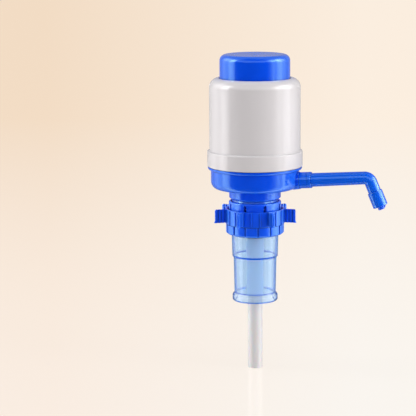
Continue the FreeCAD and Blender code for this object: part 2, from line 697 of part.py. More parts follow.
# ---- clamp --------------------------------------------------------------------------
def clamp_collar():
    thread_end = RING_TOP + HOOK_H + CLAMP_LIFT + GAP
    tip = RING_Z + RING_LIP_H + CLAMP_LIFT + GAP
    body = turned([
        (FINGER_BORE, tip),
        (FINGER_R, tip, SOFT_EDGE),
        (FINGER_R + FINGER_FLARE, tip + FINGER_TIP_H),
        (FINGER_R, tip + 2 * FINGER_TIP_H),
        (FINGER_R, thread_end),
        (THREAD_R, thread_end + FINGER_RELIEF),
        (THREAD_R, COLLAR_Z, COLLAR_ROUND),
        (RECESS_R, COLLAR_Z, SOFT_EDGE),
        (RECESS_R, RECESS_Z),
        (SPIGOT_R + FIT, RECESS_Z),
        (SPIGOT_R + FIT, SLEEVE_TOP),
        (FINGER_BORE, SLEEVE_TOP),
    ])
    half = SLOT_WIDTH / 2
    crown_z = COLLAR_Z - SLOT_TOP - half
    slot = block(0, THREAD_R + ROOT, -half, half, tip, crown_z)
    crown = placed(cylinder(half, 0, THREAD_R + ROOT), Vector(0, 0, crown_z), Vector(1, 0, 0))
    slots = round_z(slot.fuse(crown), SLOTS, CLAMP_ANGLE + 180.0 / SLOTS)
    return body.cut(Part.makeCompound(slots))


def lock_ring():
    hook_top = RING_TOP + HOOK_H
    lip_r = SLEEVE_NECK_R + GAP
    body = turned([
        (lip_r, RING_Z),
        (RING_R - RING_CHAMFER_R, RING_Z),
        (RING_R, RING_Z + RING_CHAMFER_H),
        (RING_R, RING_TOP, EDGE),
        (HOOK_R, RING_TOP),
        (HOOK_R, hook_top - HOOK_BEAD_H),
        (HOOK_R + HOOK_BEAD, hook_top - HOOK_BEAD_H),
        (HOOK_R, hook_top),
        (RING_BORE, hook_top),
        (RING_BORE, RING_Z + RING_LIP_H),
        (lip_r, RING_Z + RING_LIP_H),
    ])
    half = PAD_GROOVE_WIDTH / 2
    groove = block(RING_R - PAD_GROOVE_DEPTH, RING_R + ROOT, -half, half, RING_Z, RING_TOP)
    return body.cut(Part.makeCompound(round_z(groove, PADS, CLAMP_ANGLE + PADS_ANGLE)))


def lug():
    """One wing of the nut, along +X: grooved on both faces, flared at its foot."""
    root = NUT_R - ROOT
    half = LUG_T / 2
    step = LUG_REACH / (LUG_GROOVES + 0.5)
    wide = LUG_GROOVE_WIDTH / 2
    edge = [(root, half)]
    for i in range(LUG_GROOVES):
        middle = NUT_R + step * (i + 0.6)
        edge.append((middle - wide, half))
        edge.append((middle - wide / 2, half - LUG_GROOVE_DEPTH))
        edge.append((middle + wide / 2, half - LUG_GROOVE_DEPTH))
        edge.append((middle + wide, half))
    edge.append((LUG_R + LUG_FLARE, half))
    plan = edge + [(x, -y) for x, y in edge[::-1]]
    wire = outline(plan, lambda x, y: Vector(x, y, NUT_Z))
    blank = Part.Face(wire).extrude(Vector(0, 0, NUT_H))
    foot_z = NUT_Z + LUG_FOOT
    side = outline([
        (root, foot_z),
        (LUG_R + LUG_FLARE, foot_z, EDGE),
        (LUG_R, foot_z + LUG_FLARE_H),
        (LUG_R, NUT_TOP, LUG_ROUND),
        (root, NUT_TOP),
    ], lambda x, y: Vector(x, -LUG_T, y))
    return blank.common(Part.Face(side).extrude(Vector(0, 2 * LUG_T, 0)))


def wing_nut():
    bore = THREAD_R + FIT
    mouth = NUT_R - NUT_MOUTH_WALL
    bead_r = HOOK_R + HOOK_BEAD + FIT
    bead_top = RING_TOP + HOOK_H + FIT
    bead_low = bead_top - HOOK_BEAD_H - 4 * FIT
    body = turned([
        (HOOK_R + FIT, NUT_Z),
        (NUT_R, NUT_Z, EDGE),
        (NUT_R, NUT_TOP, EDGE),
        (mouth, NUT_TOP),
        (mouth, NUT_TOP - NUT_MOUTH_H),
        (bore, NUT_TOP - NUT_MOUTH_H),
        (bore, bead_top),
        (bead_r, bead_top),
        (bead_r, bead_low),
        (HOOK_R + FIT, bead_low),
    ])
    half = RIB_WIDTH / 2
    rib = block(NUT_R - ROOT, NUT_R + RIB_HEIGHT, -half, half, NUT_Z, NUT_TOP)
    pitch = 360.0 / LUGS
    pieces = [body]
    pieces += round_z(lug(), LUGS, LUGS_ANGLE + pitch / 2)
    pieces += round_z(rib, LUGS, LUGS_ANGLE + pitch / 6)
    pieces += round_z(rib, LUGS, LUGS_ANGLE - pitch / 6)
    return joined(pieces)


def sleeve_seal():
    """Soft ring between the sleeve's top and the base's spigot."""
    return pipe(SPIGOT_R - FIT, SLEEVE_NECK_R - SLEEVE_WALL, SLEEVE_TOP, SPIGOT_Z)


def neck_sleeve():
    t = SLEEVE_WALL
    rim_top = FOOT + SLEEVE_RIM_H
    return turned([
        (SLEEVE_WAIST_R - t, FOOT),
        (SLEEVE_RIM_R, FOOT, SLEEVE_RIM_ROUND),
        (SLEEVE_RIM_R, rim_top, SLEEVE_RIM_ROUND),
        (SLEEVE_WAIST_R, rim_top + SLEEVE_RIM_FADE, SLEEVE_RIM_ROUND),
        (SLEEVE_STEP_R, SLEEVE_STEP_Z),
        (SLEEVE_RIM_R, SLEEVE_BELLY_Z),
        (SLEEVE_SHOULDER_R, SLEEVE_SHOULDER_Z, SLEEVE_SHOULDER_ROUND),
        (SLEEVE_NECK_R, SLEEVE_SHOULDER_Z),
        (SLEEVE_NECK_R, SLEEVE_TOP),
        (SLEEVE_NECK_R - t, SLEEVE_TOP),
        (SLEEVE_NECK_R - t, SLEEVE_SHOULDER_Z - t),
        (SLEEVE_SHOULDER_R - t, SLEEVE_SHOULDER_Z - t, SLEEVE_SHOULDER_ROUND - t),
        (SLEEVE_RIM_R - t, SLEEVE_BELLY_Z + t / 2),
        (SLEEVE_STEP_R - t, SLEEVE_STEP_Z + t / 2),
    ])


# ---- spout --------------------------------------------------------------------------
def spout_cuff():
    return on_port(turned([
        (CUFF_BORE, CUFF_START),
        (CUFF_R, CUFF_START, EDGE),
        (CUFF_R, CUFF_END, EDGE),
        (SPOUT_NECK_R + FIT, CUFF_END),
        (SPOUT_NECK_R + FIT, CUFF_LIP),
        (CUFF_BORE, CUFF_LIP),
    ]))


def spout_seal():
    middle = (NOSE_START + SPOUT_FLANGE_START) / 2
    return on_port(Part.makeTorus(PIPE_R - ORING_R, ORING_R, Vector(0, 0, middle)))


def nozzle_frame():
    """The elbow's corner and the direction in which the water leaves."""
    angle = math.radians(PORT_RISE - SPOUT_TURN)
    corner = PORT_ORIGIN + PORT_DIRECTION * (PORT_MOUTH + SPOUT_REACH)
    return corner, Vector(math.cos(angle), 0, math.sin(angle))


def on_mouth(shape):
    """Lays a shape made below z = 0 into the nozzle, with its mouth at z = 0."""
    corner, way = nozzle_frame()
    mouth = corner + way * NOZZLE_LENGTH
    turn = FreeCAD.Rotation(Vector(0, 1, 0).cross(way), Vector(0, 1, 0), way, "ZYX")
    moved = shape.copy()
    moved.Placement = FreeCAD.Placement(mouth, turn).multiply(moved.Placement)
    return moved


def spout_tube():
    corner = PORT_MOUTH + SPOUT_REACH
    leg_length = SPOUT_BEND * math.tan(math.radians(SPOUT_TURN / 2))
    knee_start = corner - leg_length
    outside = turned([
        (0, NOSE_START),
        (NOSE_R, NOSE_START),
        (NOSE_R, SPOUT_FLANGE_START),
        (CUFF_BORE - FIT, SPOUT_FLANGE_START),
        (CUFF_BORE - FIT, SPOUT_FLANGE_END),
        (SPOUT_NECK_R, SPOUT_FLANGE_END),
        (SPOUT_NECK_R, CUFF_END + GAP),
        (SPOUT_ROOT_R, CUFF_END + GAP, EDGE),
        (SPOUT_TIP_R, knee_start),
        (0, knee_start),
    ])
    inside = turned([
        (0, NOSE_START),
        (NOSE_R - NOSE_WALL, NOSE_START),
        (NOSE_R - NOSE_WALL, SPOUT_FLANGE_END),
        (SPOUT_BORE_R, CUFF_END),
        (SPOUT_BORE_R, knee_start),
        (0, knee_start),
    ])
    shell = []
    for radius, straight in ((SPOUT_TIP_R, outside), (SPOUT_BORE_R, inside)):
        knee = bend(radius, SPOUT_BEND, SPOUT_TURN, knee_start)
        leg = cylinder(radius, leg_length - NOZZLE_LENGTH, -MOUTH_DEPTH)
        shell.append(joined([on_port(straight), on_port(knee), on_mouth(leg)]))
    return shell[0].cut(shell[1])


def nozzle_sleeve():
    return on_mouth(turned([
        (SPOUT_TIP_R + FIT, -NOZZLE_SLEEVE_H),
        (NOZZLE_SLEEVE_R, -NOZZLE_SLEEVE_H, EDGE),
        (NOZZLE_SLEEVE_R, 0, EDGE),
        (MOUTH_R, 0),
        (MOUTH_R, -MOUTH_DEPTH),
        (SPOUT_TIP_R + FIT, -MOUTH_DEPTH),
    ]))


def dust_plug():
    tip_z = -PLUG_T - PLUG_TIP_H
    body = turned([
        (0, tip_z),
        (PLUG_TIP_R - PLUG_TIP_CHAMFER, tip_z),
        (PLUG_TIP_R, tip_z + PLUG_TIP_CHAMFER),
        (PLUG_TIP_R, -PLUG_T),
        (PLUG_R - PLUG_CHAMFER, -PLUG_T),
        (PLUG_R, -PLUG_T + PLUG_CHAMFER),
        (PLUG_R, PLUG_LIFT),
        (0, PLUG_LIFT),
    ])
    knob = turned([
        (0, -PLUG_T),
        (KNOB_R, -PLUG_T),
        (KNOB_R, KNOB_H, SOFT_EDGE),
        (0, KNOB_H),
    ])
    half = TAB_WIDTH / 2
    tab = block(-half, half, 0, HINGE_Y, PLUG_LIFT, PLUG_LIFT + TAB_T)
    pivot = Vector(-half, HINGE_Y, PLUG_LIFT + TAB_T / 2)
    knuckle = placed(cylinder(TAB_T / 2, 0, TAB_WIDTH), pivot, Vector(1, 0, 0))
    return on_mouth(joined([body, knob, tab, knuckle]))


def dust_strap():
    """A flat strap that loops from the nozzle sleeve to the plug's hinge."""
    t = STRAP_T / 2
    low = -STRAP_ROOT
    high = PLUG_LIFT + TAB_T / 2
    middle = (high + low) / 2
    loop = (high - low) / 2
    turn_y = NOZZLE_SLEEVE_R + STRAP_LEG
    half = STRAP_WIDTH / 2
    side = outline([
        (0, low - t),
        (turn_y, low - t),
        (turn_y + loop + t, middle, BULGE),
        (turn_y, high + t),
        (0, high + t),
        (0, high - t),
        (turn_y, high - t),
        (turn_y + loop - t, middle, BULGE),
        (turn_y, low + t),
        (0, low + t),
    ], lambda x, y: Vector(-half, x, y))
    band = Part.Face(side).extrude(Vector(STRAP_WIDTH, 0, 0))
    nozzle = cylinder(NOZZLE_SLEEVE_R + FIT, -NOZZLE_SLEEVE_H, 0)
    pivot = Vector(-half, HINGE_Y, high)
    hinge = placed(cylinder(TAB_T / 2 + GAP, 0, STRAP_WIDTH), pivot, Vector(1, 0, 0))
    tab = block(-half, half, 0, HINGE_Y, 0, high + STRAP_T)
    return on_mouth(band.cut(nozzle).cut(hinge).cut(tab))


PIECES = (
    press_cap, press_plate, intake_valve, bellows, return_spring, housing, pump_base,
    neck_seal, valve_deck, deck_seal, outlet_valve, bellows_clamp, water_elbow,
    outlet_pipe, riser_pipe, hose_socket, suction_tube, clamp_collar, lock_ring,
    wing_nut, sleeve_seal, neck_sleeve, spout_cuff, spout_seal, spout_tube,
    nozzle_sleeve, dust_plug, dust_strap,
)

os.makedirs("parts", exist_ok=True)
for piece in PIECES:
    shape = piece()
    shape.exportStep("parts/" + piece.__name__ + ".step")
    solids = shape.Solids
    print(f"{piece.__name__:15s} solids {len(solids)} valid {shape.isValid()} volume {shape.Volume:9.1f}")
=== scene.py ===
# %% [markdown]
# # A hand pump for a water jug
# The pump clamps into the neck of a water jug. Pressing its cap squeezes a bellows, and the
# air drives the water up the tube and out of the spout. The measured solids come from the
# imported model. This script adds the light, the finishes, and the pieces that need a finer or
# softer surface than the measured solids have.

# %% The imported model
import json
import math
import bmesh
import bpy
from mathutils import Matrix, Vector


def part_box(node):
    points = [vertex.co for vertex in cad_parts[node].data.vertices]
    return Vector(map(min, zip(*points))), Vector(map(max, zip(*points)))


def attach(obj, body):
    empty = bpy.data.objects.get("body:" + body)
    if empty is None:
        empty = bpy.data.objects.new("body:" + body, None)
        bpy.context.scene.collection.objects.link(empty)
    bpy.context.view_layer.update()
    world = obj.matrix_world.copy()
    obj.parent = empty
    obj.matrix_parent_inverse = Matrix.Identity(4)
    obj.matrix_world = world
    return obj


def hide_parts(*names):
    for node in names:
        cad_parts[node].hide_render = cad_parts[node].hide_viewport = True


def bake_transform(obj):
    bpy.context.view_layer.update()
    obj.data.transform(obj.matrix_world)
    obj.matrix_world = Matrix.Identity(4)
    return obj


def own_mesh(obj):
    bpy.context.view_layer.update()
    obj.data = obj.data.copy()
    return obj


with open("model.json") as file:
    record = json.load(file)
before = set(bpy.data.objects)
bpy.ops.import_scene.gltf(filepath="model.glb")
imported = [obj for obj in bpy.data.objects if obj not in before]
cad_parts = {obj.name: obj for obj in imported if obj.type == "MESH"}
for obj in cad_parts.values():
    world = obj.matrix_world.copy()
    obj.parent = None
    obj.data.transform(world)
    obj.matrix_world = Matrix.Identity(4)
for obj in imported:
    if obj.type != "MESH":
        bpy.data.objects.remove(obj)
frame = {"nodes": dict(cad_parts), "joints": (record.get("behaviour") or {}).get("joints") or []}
nodes = frame["nodes"]
joints = {joint["name"]: joint for joint in frame["joints"]}
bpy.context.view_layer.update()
MM = 0.001  # in metres

# %% [markdown]
# ## The camera
# A long lens from 1.45 m away keeps the pump's sides nearly parallel, as in a catalogue
# picture. The camera looks slightly down and stands a little towards the spout. It is turned
# rather than shifted, so that the pump sits right of the middle, and rolled by a fraction of a
# degree, which keeps the pump upright although it is off the middle.

# %% Camera
IMAGE_PX = 416
FOCAL_PX = 1744.0
PUMP_AXIS_PX = 255.0
CAMERA_DISTANCE = 1.45
CAMERA_HEIGHT = 0.3311
CAMERA_PITCH = math.radians(9.96)
CAMERA_ROLL = math.radians(-0.35)
CAMERA_AZIMUTH = math.radians(14.5)
TO_CAMERA = Vector((math.sin(CAMERA_AZIMUTH), -math.cos(CAMERA_AZIMUTH), 0))
TO_RIGHT = Vector((math.cos(CAMERA_AZIMUTH), math.sin(CAMERA_AZIMUTH), 0))


def placed(name, data):
    """A new object in the scene."""
    thing = bpy.data.objects.new(name, data)
    bpy.context.scene.collection.objects.link(thing)
    return thing


def make_camera():
    data = bpy.data.cameras.new("camera")
    data.sensor_width = 36.0
    data.lens = data.sensor_width * FOCAL_PX / IMAGE_PX
    data.clip_end = 100.0
    camera = placed("camera", data)
    camera.location = TO_CAMERA * CAMERA_DISTANCE + Vector((0, 0, CAMERA_HEIGHT))
    offset = (PUMP_AXIS_PX - IMAGE_PX / 2) / FOCAL_PX / math.cos(CAMERA_PITCH)
    turn = Matrix.Rotation(CAMERA_AZIMUTH + math.atan(offset), 3, "Z")
    tilt = Matrix.Rotation(math.pi / 2 - CAMERA_PITCH, 3, "X")
    roll = Matrix.Rotation(CAMERA_ROLL, 3, "Z")
    camera.rotation_euler = (turn @ tilt @ roll).to_euler()
    bpy.context.scene.camera = camera
    return camera


camera = make_camera()
bpy.context.scene.view_settings.view_transform = "Standard"
print("lens", round(camera.data.lens, 1), "mm")

# %% [markdown]
# ## Node helpers
# Every finish below is a small tree of nodes, and so is every rule that repeats or bends a
# shape. `add` makes one node, fills in its sockets and settings, and joins a socket that gets
# another node's output. The other helpers are nodes that are used again and again.


# %% Node helpers
def add(tree, kind, sockets=None, **settings):
    """A node; each of its sockets is given a plain value or another node's output."""
    node = tree.nodes.new(kind)
    for name, value in settings.items():
        setattr(node, name, value)
    for name, value in (sockets or {}).items():
        if isinstance(value, bpy.types.NodeSocket):
            tree.links.new(value, node.inputs[name])
        else:
            node.inputs[name].default_value = value
    return node


def made(tree, kind, sockets=None, **settings):
    """The first output of a new node."""
    return add(tree, kind, sockets, **settings).outputs[0]


def maths(tree, operation, first, second=0.0):
    return made(tree, "ShaderNodeMath", {0: first, 1: second}, operation=operation)


def ramp(tree, value, start, end, low=0.0, high=1.0, shape="SMOOTHSTEP"):
    """Goes from low to high while the value goes from start to end."""
    return made(tree, "ShaderNodeMapRange", {
        "Value": value, "From Min": start, "From Max": end, "To Min": low, "To Max": high},
        interpolation_type=shape)


def off_from(tree, value, middle):
    """How far a value is from the middle."""
    return maths(tree, "ABSOLUTE", maths(tree, "SUBTRACT", value, middle))


def mixed(tree, factor, first, second):
    """A mix of two colours."""
    node = add(tree, "ShaderNodeMix", {"Factor": factor, "A": first, "B": second},
               data_type="RGBA")
    return node.outputs["Result"]


def new_group(name, inputs, outputs):
    """An empty shader node group with float inputs {name: default} and float outputs."""
    group = bpy.data.node_groups.new(name, "ShaderNodeTree")
    for label, value in inputs.items():
        socket = group.interface.new_socket(label, in_out="INPUT", socket_type="NodeSocketFloat")
        socket.default_value = value
    for label in outputs:
        group.interface.new_socket(label, in_out="OUTPUT", socket_type="NodeSocketFloat")
    return group, group.nodes.new("NodeGroupInput").outputs


print("helpers ready")

# %% [markdown]
# ## The lamps
# Glossy plastic shows two things at once: how much light falls on it, and what it mirrors. The
# two are set apart here. Three large soft lamps give the light that falls on the pump, one
# from the left, one from the right and nearer to the camera, and a weak one overhead. They
# aren't mirrored themselves. What is mirrored is drawn in the world, in the next step.

# %% Lamps
FLOOR_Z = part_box("suction_tube")[0].z
LAMP_AIM = Vector((0, 0, 0.08))
LAMP_COLOUR = (1.0, 0.985, 0.97)


def soft_lamp(name, azimuth, distance, width, height, z, watts):
    """A large area light; azimuth is in degrees from the camera, to the right."""
    data = bpy.data.lights.new(name, "AREA")
    data.shape = "RECTANGLE"
    data.size = width
    data.size_y = height
    data.energy = watts
    data.color = LAMP_COLOUR
    lamp = placed(name, data)
    angle = math.radians(azimuth)
    lamp.location = distance * (TO_CAMERA * math.cos(angle) + TO_RIGHT * math.sin(angle))
    lamp.location.z = z
    lamp.rotation_euler = (LAMP_AIM - lamp.location).to_track_quat("-Z", "Y").to_euler()
    lamp.visible_glossy = False


soft_lamp("lamp_left", -92, 1.2, 0.7, 1.1, 0.45, 11.5)
soft_lamp("lamp_right", 66, 1.2, 0.6, 1.1, 0.45, 10.0)
soft_lamp("lamp_top", 5, 0.16, 0.5, 0.4, 1.3, 4.0)
print("floor at", round(FLOOR_Z / MM, 1), "mm")

# %% [markdown]
# ## The world
# The camera sees the world in the colours that the floor has far away, and matt surfaces get an
# even weak light from it. Mirroring surfaces see upright panels of light to the left and right
# of the camera, a dark room behind the camera and a dim wall behind the pump. That is how
# studio pictures of plastic are made: the panels draw the bands on the round sides, and the
# dark room keeps the front's colour deep. A soft box above the camera draws the long highlight
# on top of the spout. Heights are those of a ray one unit long, so 1 is straight up.

# %% World
FAR_LEFT = (0.97, 0.77, 0.58, 1)
FAR_RIGHT = (1.06, 0.93, 0.795, 1)
VIEW_SIDES = (-0.12, 0.06)  # sideways over depth, where the colours start and end
SHOWN = 0.97  # strength of the world in the camera's eye
AMBIENT = 0.37
AMBIENT_TINT = (1.0, 0.975, 0.985, 1)
PANELS = (  # azimuth, half width, soft edge, brightness
    (-100, 14, 26, 1.1),
    (-82, 8, 8, 2.2),
    (64, 3, 4, 1.1),
    (88, 9, 6, 2.0),
    (84, 20, 26, 1.3),
)
PANEL_TINT = (1.0, 0.99, 0.99, 1)
PANEL_RISE = (-0.05, 0.42, 1.0, 3.2)  # between two heights, from one brightness to another
PANEL_FALL = (0.50, 0.80, 1.0, 0.10)
WALL = 0.42  # brightness of the dim wall
WALL_TINT = (1.0, 0.97, 0.97, 1)
WALL_EDGE = (0.55, -0.75)  # starts and is full at this much towards the camera
SOFT_BOX = 1.7
SOFT_BOX_HEIGHT = 0.48
SOFT_BOX_EDGE = (0.10, 0.34)  # from its middle, up and down
SOFT_BOX_SIDES = (math.radians(50), math.radians(95))
LEAST_DEPTH = 0.1


def along(tree, vector, direction):
    """How far a vector goes in a direction."""
    node = add(tree, "ShaderNodeVectorMath", {0: vector, 1: direction},
               operation="DOT_PRODUCT")
    return node.outputs["Value"]


def sideways(tree, right, depth, left_colour, right_colour):
    """Goes from one colour to the other, from left to right as the camera sees it."""
    across = ramp(tree, maths(tree, "DIVIDE", right, depth), *VIEW_SIDES, shape="LINEAR")
    return mixed(tree, across, left_colour, right_colour)


def background(tree, colour, strength):
    return made(tree, "ShaderNodeBackground", {"Color": colour, "Strength": strength})


def either(tree, factor, first, second):
    """A mix of two shaders."""
    return made(tree, "ShaderNodeMixShader", {"Fac": factor, 1: first, 2: second})


def light_path(tree):
    """The Light Path node's outputs, and 1 for the rays that show a surface to the camera."""
    path = add(tree, "ShaderNodeLightPath").outputs
    return path, maths(tree, "MAXIMUM", path["Is Camera Ray"], path["Is Transmission Ray"])


def make_world():
    world = bpy.data.worlds.new("studio")
    bpy.context.scene.world = world
    world.use_nodes = True
    tree = world.node_tree
    tree.nodes.clear()
    path, seen = light_path(tree)
    ray = add(tree, "ShaderNodeTexCoord").outputs["Generated"]
    height = add(tree, "ShaderNodeSeparateXYZ", {"Vector": ray}).outputs["Z"]
    front = along(tree, ray, TO_CAMERA)
    right = along(tree, ray, TO_RIGHT)
    heading = maths(tree, "ARCTAN2", right, front)
    light = 0.0
    for azimuth, half, edge, level in PANELS:
        panel = ramp(tree, off_from(tree, heading, math.radians(azimuth)),
                     math.radians(half), math.radians(half + edge), level, 0.0)
        light = maths(tree, "ADD", panel, light)
    by_height = maths(tree, "MULTIPLY", ramp(tree, height, *PANEL_RISE),
                      ramp(tree, height, *PANEL_FALL))
    light = maths(tree, "MULTIPLY", light, by_height)
    ahead = ramp(tree, maths(tree, "ABSOLUTE", heading), *SOFT_BOX_SIDES, 1.0, 0.0)
    above = ramp(tree, off_from(tree, height, SOFT_BOX_HEIGHT), *SOFT_BOX_EDGE, SOFT_BOX, 0.0)
    light = maths(tree, "ADD", light, maths(tree, "MULTIPLY", ahead, above))
    wall = background(tree, WALL_TINT, ramp(tree, front, *WALL_EDGE, 0.0, WALL))
    mirrored = made(tree, "ShaderNodeAddShader",
                    {0: background(tree, PANEL_TINT, light), 1: wall})
    ambient = background(tree, AMBIENT_TINT, AMBIENT)
    depth = maths(tree, "MAXIMUM", maths(tree, "MULTIPLY", front, -1.0), LEAST_DEPTH)
    shown = background(tree, sideways(tree, right, depth, FAR_LEFT, FAR_RIGHT), SHOWN)
    unseen = either(tree, path["Is Glossy Ray"], ambient, mirrored)
    add(tree, "ShaderNodeOutputWorld", {"Surface": either(tree, seen, unseen, shown)})
    return world


print("world:", make_world().name, "with", len(PANELS), "panels")

# %% [markdown]
# ## The floor
# The floor is one large pale sheet. The camera sees it mostly by its own even colour, peach on
# the left and nearly white on the right, which goes over into the world's colours further
# back. A share of it stays a plain diffuse surface, so that the pump still throws a soft
# shadow. A trace of gloss mirrors the foot of the tube. Reflections on the pump pass it by and
# see the studio's panels.

# %% Floor
FLOOR_SIZE = 60.0
FLOOR_MATT = (0.92, 0.89, 0.85, 1)
FLOOR_GLOW = 1.05
FLOOR_GLOSS = 0.11
SHADOW_SHARE = 0.09
BEHIND_CLEAR = 0.7  # of the floor's tint that clear plastic takes away
NEAR_LEFT = (0.99, 0.875, 0.78, 1)
NEAR_RIGHT = (0.99, 0.955, 0.905, 1)
NEAR_TO_FAR = (1.2, 3.2)  # metres from the camera
LEAST_AWAY = 0.6


def floor_material():
    material = bpy.data.materials.new("floor_cream")
    material.use_nodes = True
    tree = material.node_tree
    tree.nodes.clear()
    spot = add(tree, "ShaderNodeTexCoord").outputs["Object"]
    right = along(tree, spot, TO_RIGHT)
    away = maths(tree, "ADD", along(tree, spot, -TO_CAMERA), CAMERA_DISTANCE)
    away = maths(tree, "MAXIMUM", away, LEAST_AWAY)
    near = sideways(tree, right, away, NEAR_LEFT, NEAR_RIGHT)
    far = sideways(tree, right, away, FAR_LEFT, FAR_RIGHT)
    colour = mixed(tree, ramp(tree, away, *NEAR_TO_FAR, shape="LINEAR"), near, far)
    path, seen = light_path(tree)
    through = maths(tree, "MULTIPLY", path["Is Transmission Ray"], BEHIND_CLEAR)
    glow = made(tree, "ShaderNodeEmission", {
        "Color": mixed(tree, through, colour, (1, 1, 1, 1)), "Strength": FLOOR_GLOW})
    matt = made(tree, "ShaderNodeBsdfDiffuse", {"Color": FLOOR_MATT})
    gloss = made(tree, "ShaderNodeBsdfGlossy", {"Roughness": 0.12})
    even = either(tree, maths(tree, "MULTIPLY", seen, 1 - SHADOW_SHARE), matt, glow)
    add(tree, "ShaderNodeOutputMaterial", {"Surface": either(tree, FLOOR_GLOSS, even, gloss)})
    return material


def make_floor():
    half = FLOOR_SIZE / 2
    mesh = bpy.data.meshes.new("floor")
    corners = ((-half, -half), (half, -half), (half, half), (-half, half))
    mesh.from_pydata([(x, y, FLOOR_Z) for x, y in corners], [], [(0, 1, 2, 3)])
    floor = placed("floor", mesh)
    floor.data.materials.append(floor_material())
    floor.visible_glossy = False
    return floor


print("stage:", make_floor().name)

# %% [markdown]
# ## Shared surface effects
# Injection moulded plastic is never quite even. Its colour drifts where the melt cooled, its
# gloss is broken by handling, and its skin has a faint orange peel. The group also paints
# shade: it darkens the colour in grooves and gaps, where an ambient occlusion node finds that
# little light gets in. The four effects sit in one group, and every moulded piece takes them in
# its own measure.


# %% Moulded skin
def moulded_skin():
    """Outputs: Shade multiplies the colour (with painted shade), Gloss is roughness, Height bumps.
    """
    group, given = new_group(
        "moulded_skin",
        {"Drift": 0.06, "Roughness": 0.25, "Smudge": 0.08, "Peel Scale": 900.0, "Painted Shade": 0.0},
        ("Shade", "Gloss", "Height"))
    spot = add(group, "ShaderNodeTexCoord").outputs["Object"]
    cloud = made(group, "ShaderNodeTexNoise", {"Vector": spot, "Scale": 38.0, "Detail": 3.0})
    centred = maths(group, "SUBTRACT", cloud, 0.5)
    drift = maths(group, "MULTIPLY", centred, given["Drift"])
    # Painted shade: the colour is darkened where ambient occlusion finds grooves and gaps.
    reach = add(group, "ShaderNodeAmbientOcclusion", {"Distance": 0.0016}, samples=8)
    hidden = maths(group, "SUBTRACT", 1.0, reach.outputs["AO"])
    open_share = maths(group, "SUBTRACT", 1.0,
                       maths(group, "MULTIPLY", hidden, given["Painted Shade"]))
    hands = made(group, "ShaderNodeTexNoise",
                 {"Vector": spot, "Scale": 95.0, "Detail": 5.0, "Roughness": 0.6})
    touched = ramp(group, hands, 0.42, 0.68, shape="LINEAR")
    smudged = maths(group, "MULTIPLY", touched, given["Smudge"])
    peel = made(group, "ShaderNodeTexNoise",
                {"Vector": spot, "Scale": given["Peel Scale"], "Detail": 2.0})
    add(group, "NodeGroupOutput", {
        "Shade": maths(group, "MULTIPLY", maths(group, "ADD", drift, 1.0), open_share),
        "Gloss": maths(group, "ADD", smudged, given["Roughness"]), "Height": peel})
    return group


SKIN = moulded_skin()
print("group", SKIN.name, "with", len(SKIN.nodes), "nodes")

# %% [markdown]
# ## Plastics
# Every finish is a Principled shader with the moulded skin on its colour, gloss and bump. The
# numbers that are the same all over a piece, such as how strongly it mirrors, are set on the
# shader's own sockets.

# %% Plastics
# The painted sheen: how far a surface turns from the eye picks its turned colour.
SHEEN_FACING = (0.04, 0.50)  # Layer Weight where the turned colour starts and is full
PEEL_DEPTH = 0.0005


def plastic(name, slot, colour, roughness, turned=None, painted_shade=0.0, drift=0.05, smudge=0.03,
            peel=0.003, **sockets):
    """A Principled plastic with the moulded skin on its colour, gloss and bump.

    `turned` is the colour of the surface where it turns away from the eye: a painted sheen,
    which stands in for how the light falls on the round sides. The number after it is the
    strength of the skin's painted shade in grooves and gaps.
    """
    material = bpy.data.materials.new(name)
    material.use_nodes = True
    tree = material.node_tree
    shader = tree.nodes["Principled BSDF"]
    skin = add(tree, "ShaderNodeGroup", {
        "Drift": drift, "Roughness": roughness, "Smudge": smudge, "Painted Shade": painted_shade},
        node_tree=SKIN).outputs
    # Painted sheen: the colour moves to the turned colour as the surface turns from the eye.
    if turned:
        facing = add(tree, "ShaderNodeLayerWeight", {"Blend": 0.5}).outputs["Facing"]
        colour = mixed(tree, ramp(tree, facing, *SHEEN_FACING), (*colour, 1), (*turned, 1))
    shade = made(tree, "ShaderNodeVectorMath", {0: colour, "Scale": skin["Shade"]},
                 operation="SCALE")
    bump = made(tree, "ShaderNodeBump", {
        "Strength": peel, "Distance": PEEL_DEPTH, "Height": skin["Height"]})
    for label, source in (("Base Color", shade), ("Roughness", skin["Gloss"]), ("Normal", bump)):
        tree.links.new(source, shader.inputs[label])
    for label, value in sockets.items():
        shader.inputs[label.replace("_", " ")].default_value = value
    return material


# The first three blues take a second colour, their painted sheen where they turn from the eye, and
# a number after it, their painted shade in grooves and gaps. The white has painted shade in its
# seams too.
DEEP = (0.001, 0.075, 0.87)
AZURE_SHEEN = (0.012, 0.128, 0.86)
blue = plastic("royal_blue_gloss", "blue_plastic", DEEP, 0.14, AZURE_SHEEN, 0.5,
               Specular_IOR_Level=0.72, Specular_Tint=(0.50, 1.0, 0.70, 1))
grip_blue = plastic("royal_blue_grip", "blue_plastic", (0.001, 0.088, 0.97), 0.20,
                    (0.030, 0.190, 0.97), 0.8,
                    Specular_IOR_Level=0.8, Specular_Tint=(0.50, 1.0, 0.70, 1))
spout_blue = plastic("royal_blue_spout", "blue_plastic", (0.001, 0.116, 0.88), 0.16,
                     (0.001, 0.105, 0.82), 0.5,
                     Specular_IOR_Level=0.8, Specular_Tint=(0.55, 1.0, 0.75, 1))
soft_blue = plastic("royal_blue_soft", "soft_blue", (0.002, 0.085, 0.80), 0.34,
                    Specular_IOR_Level=0.6, Specular_Tint=(0.62, 1.0, 0.90, 1))
white = plastic("warm_white_gloss", "white_plastic", (0.67, 0.655, 0.677), 0.11, painted_shade=0.4,
                drift=0.02)
inner = plastic("natural_moulding", "inner_plastic", (0.78, 0.79, 0.80), 0.45, drift=0.03)
milky = plastic("milky_tube", "milky_tube", (0.74, 0.72, 0.735), 0.33, drift=0.02,
                Subsurface_Weight=0.25, Subsurface_Scale=0.004)
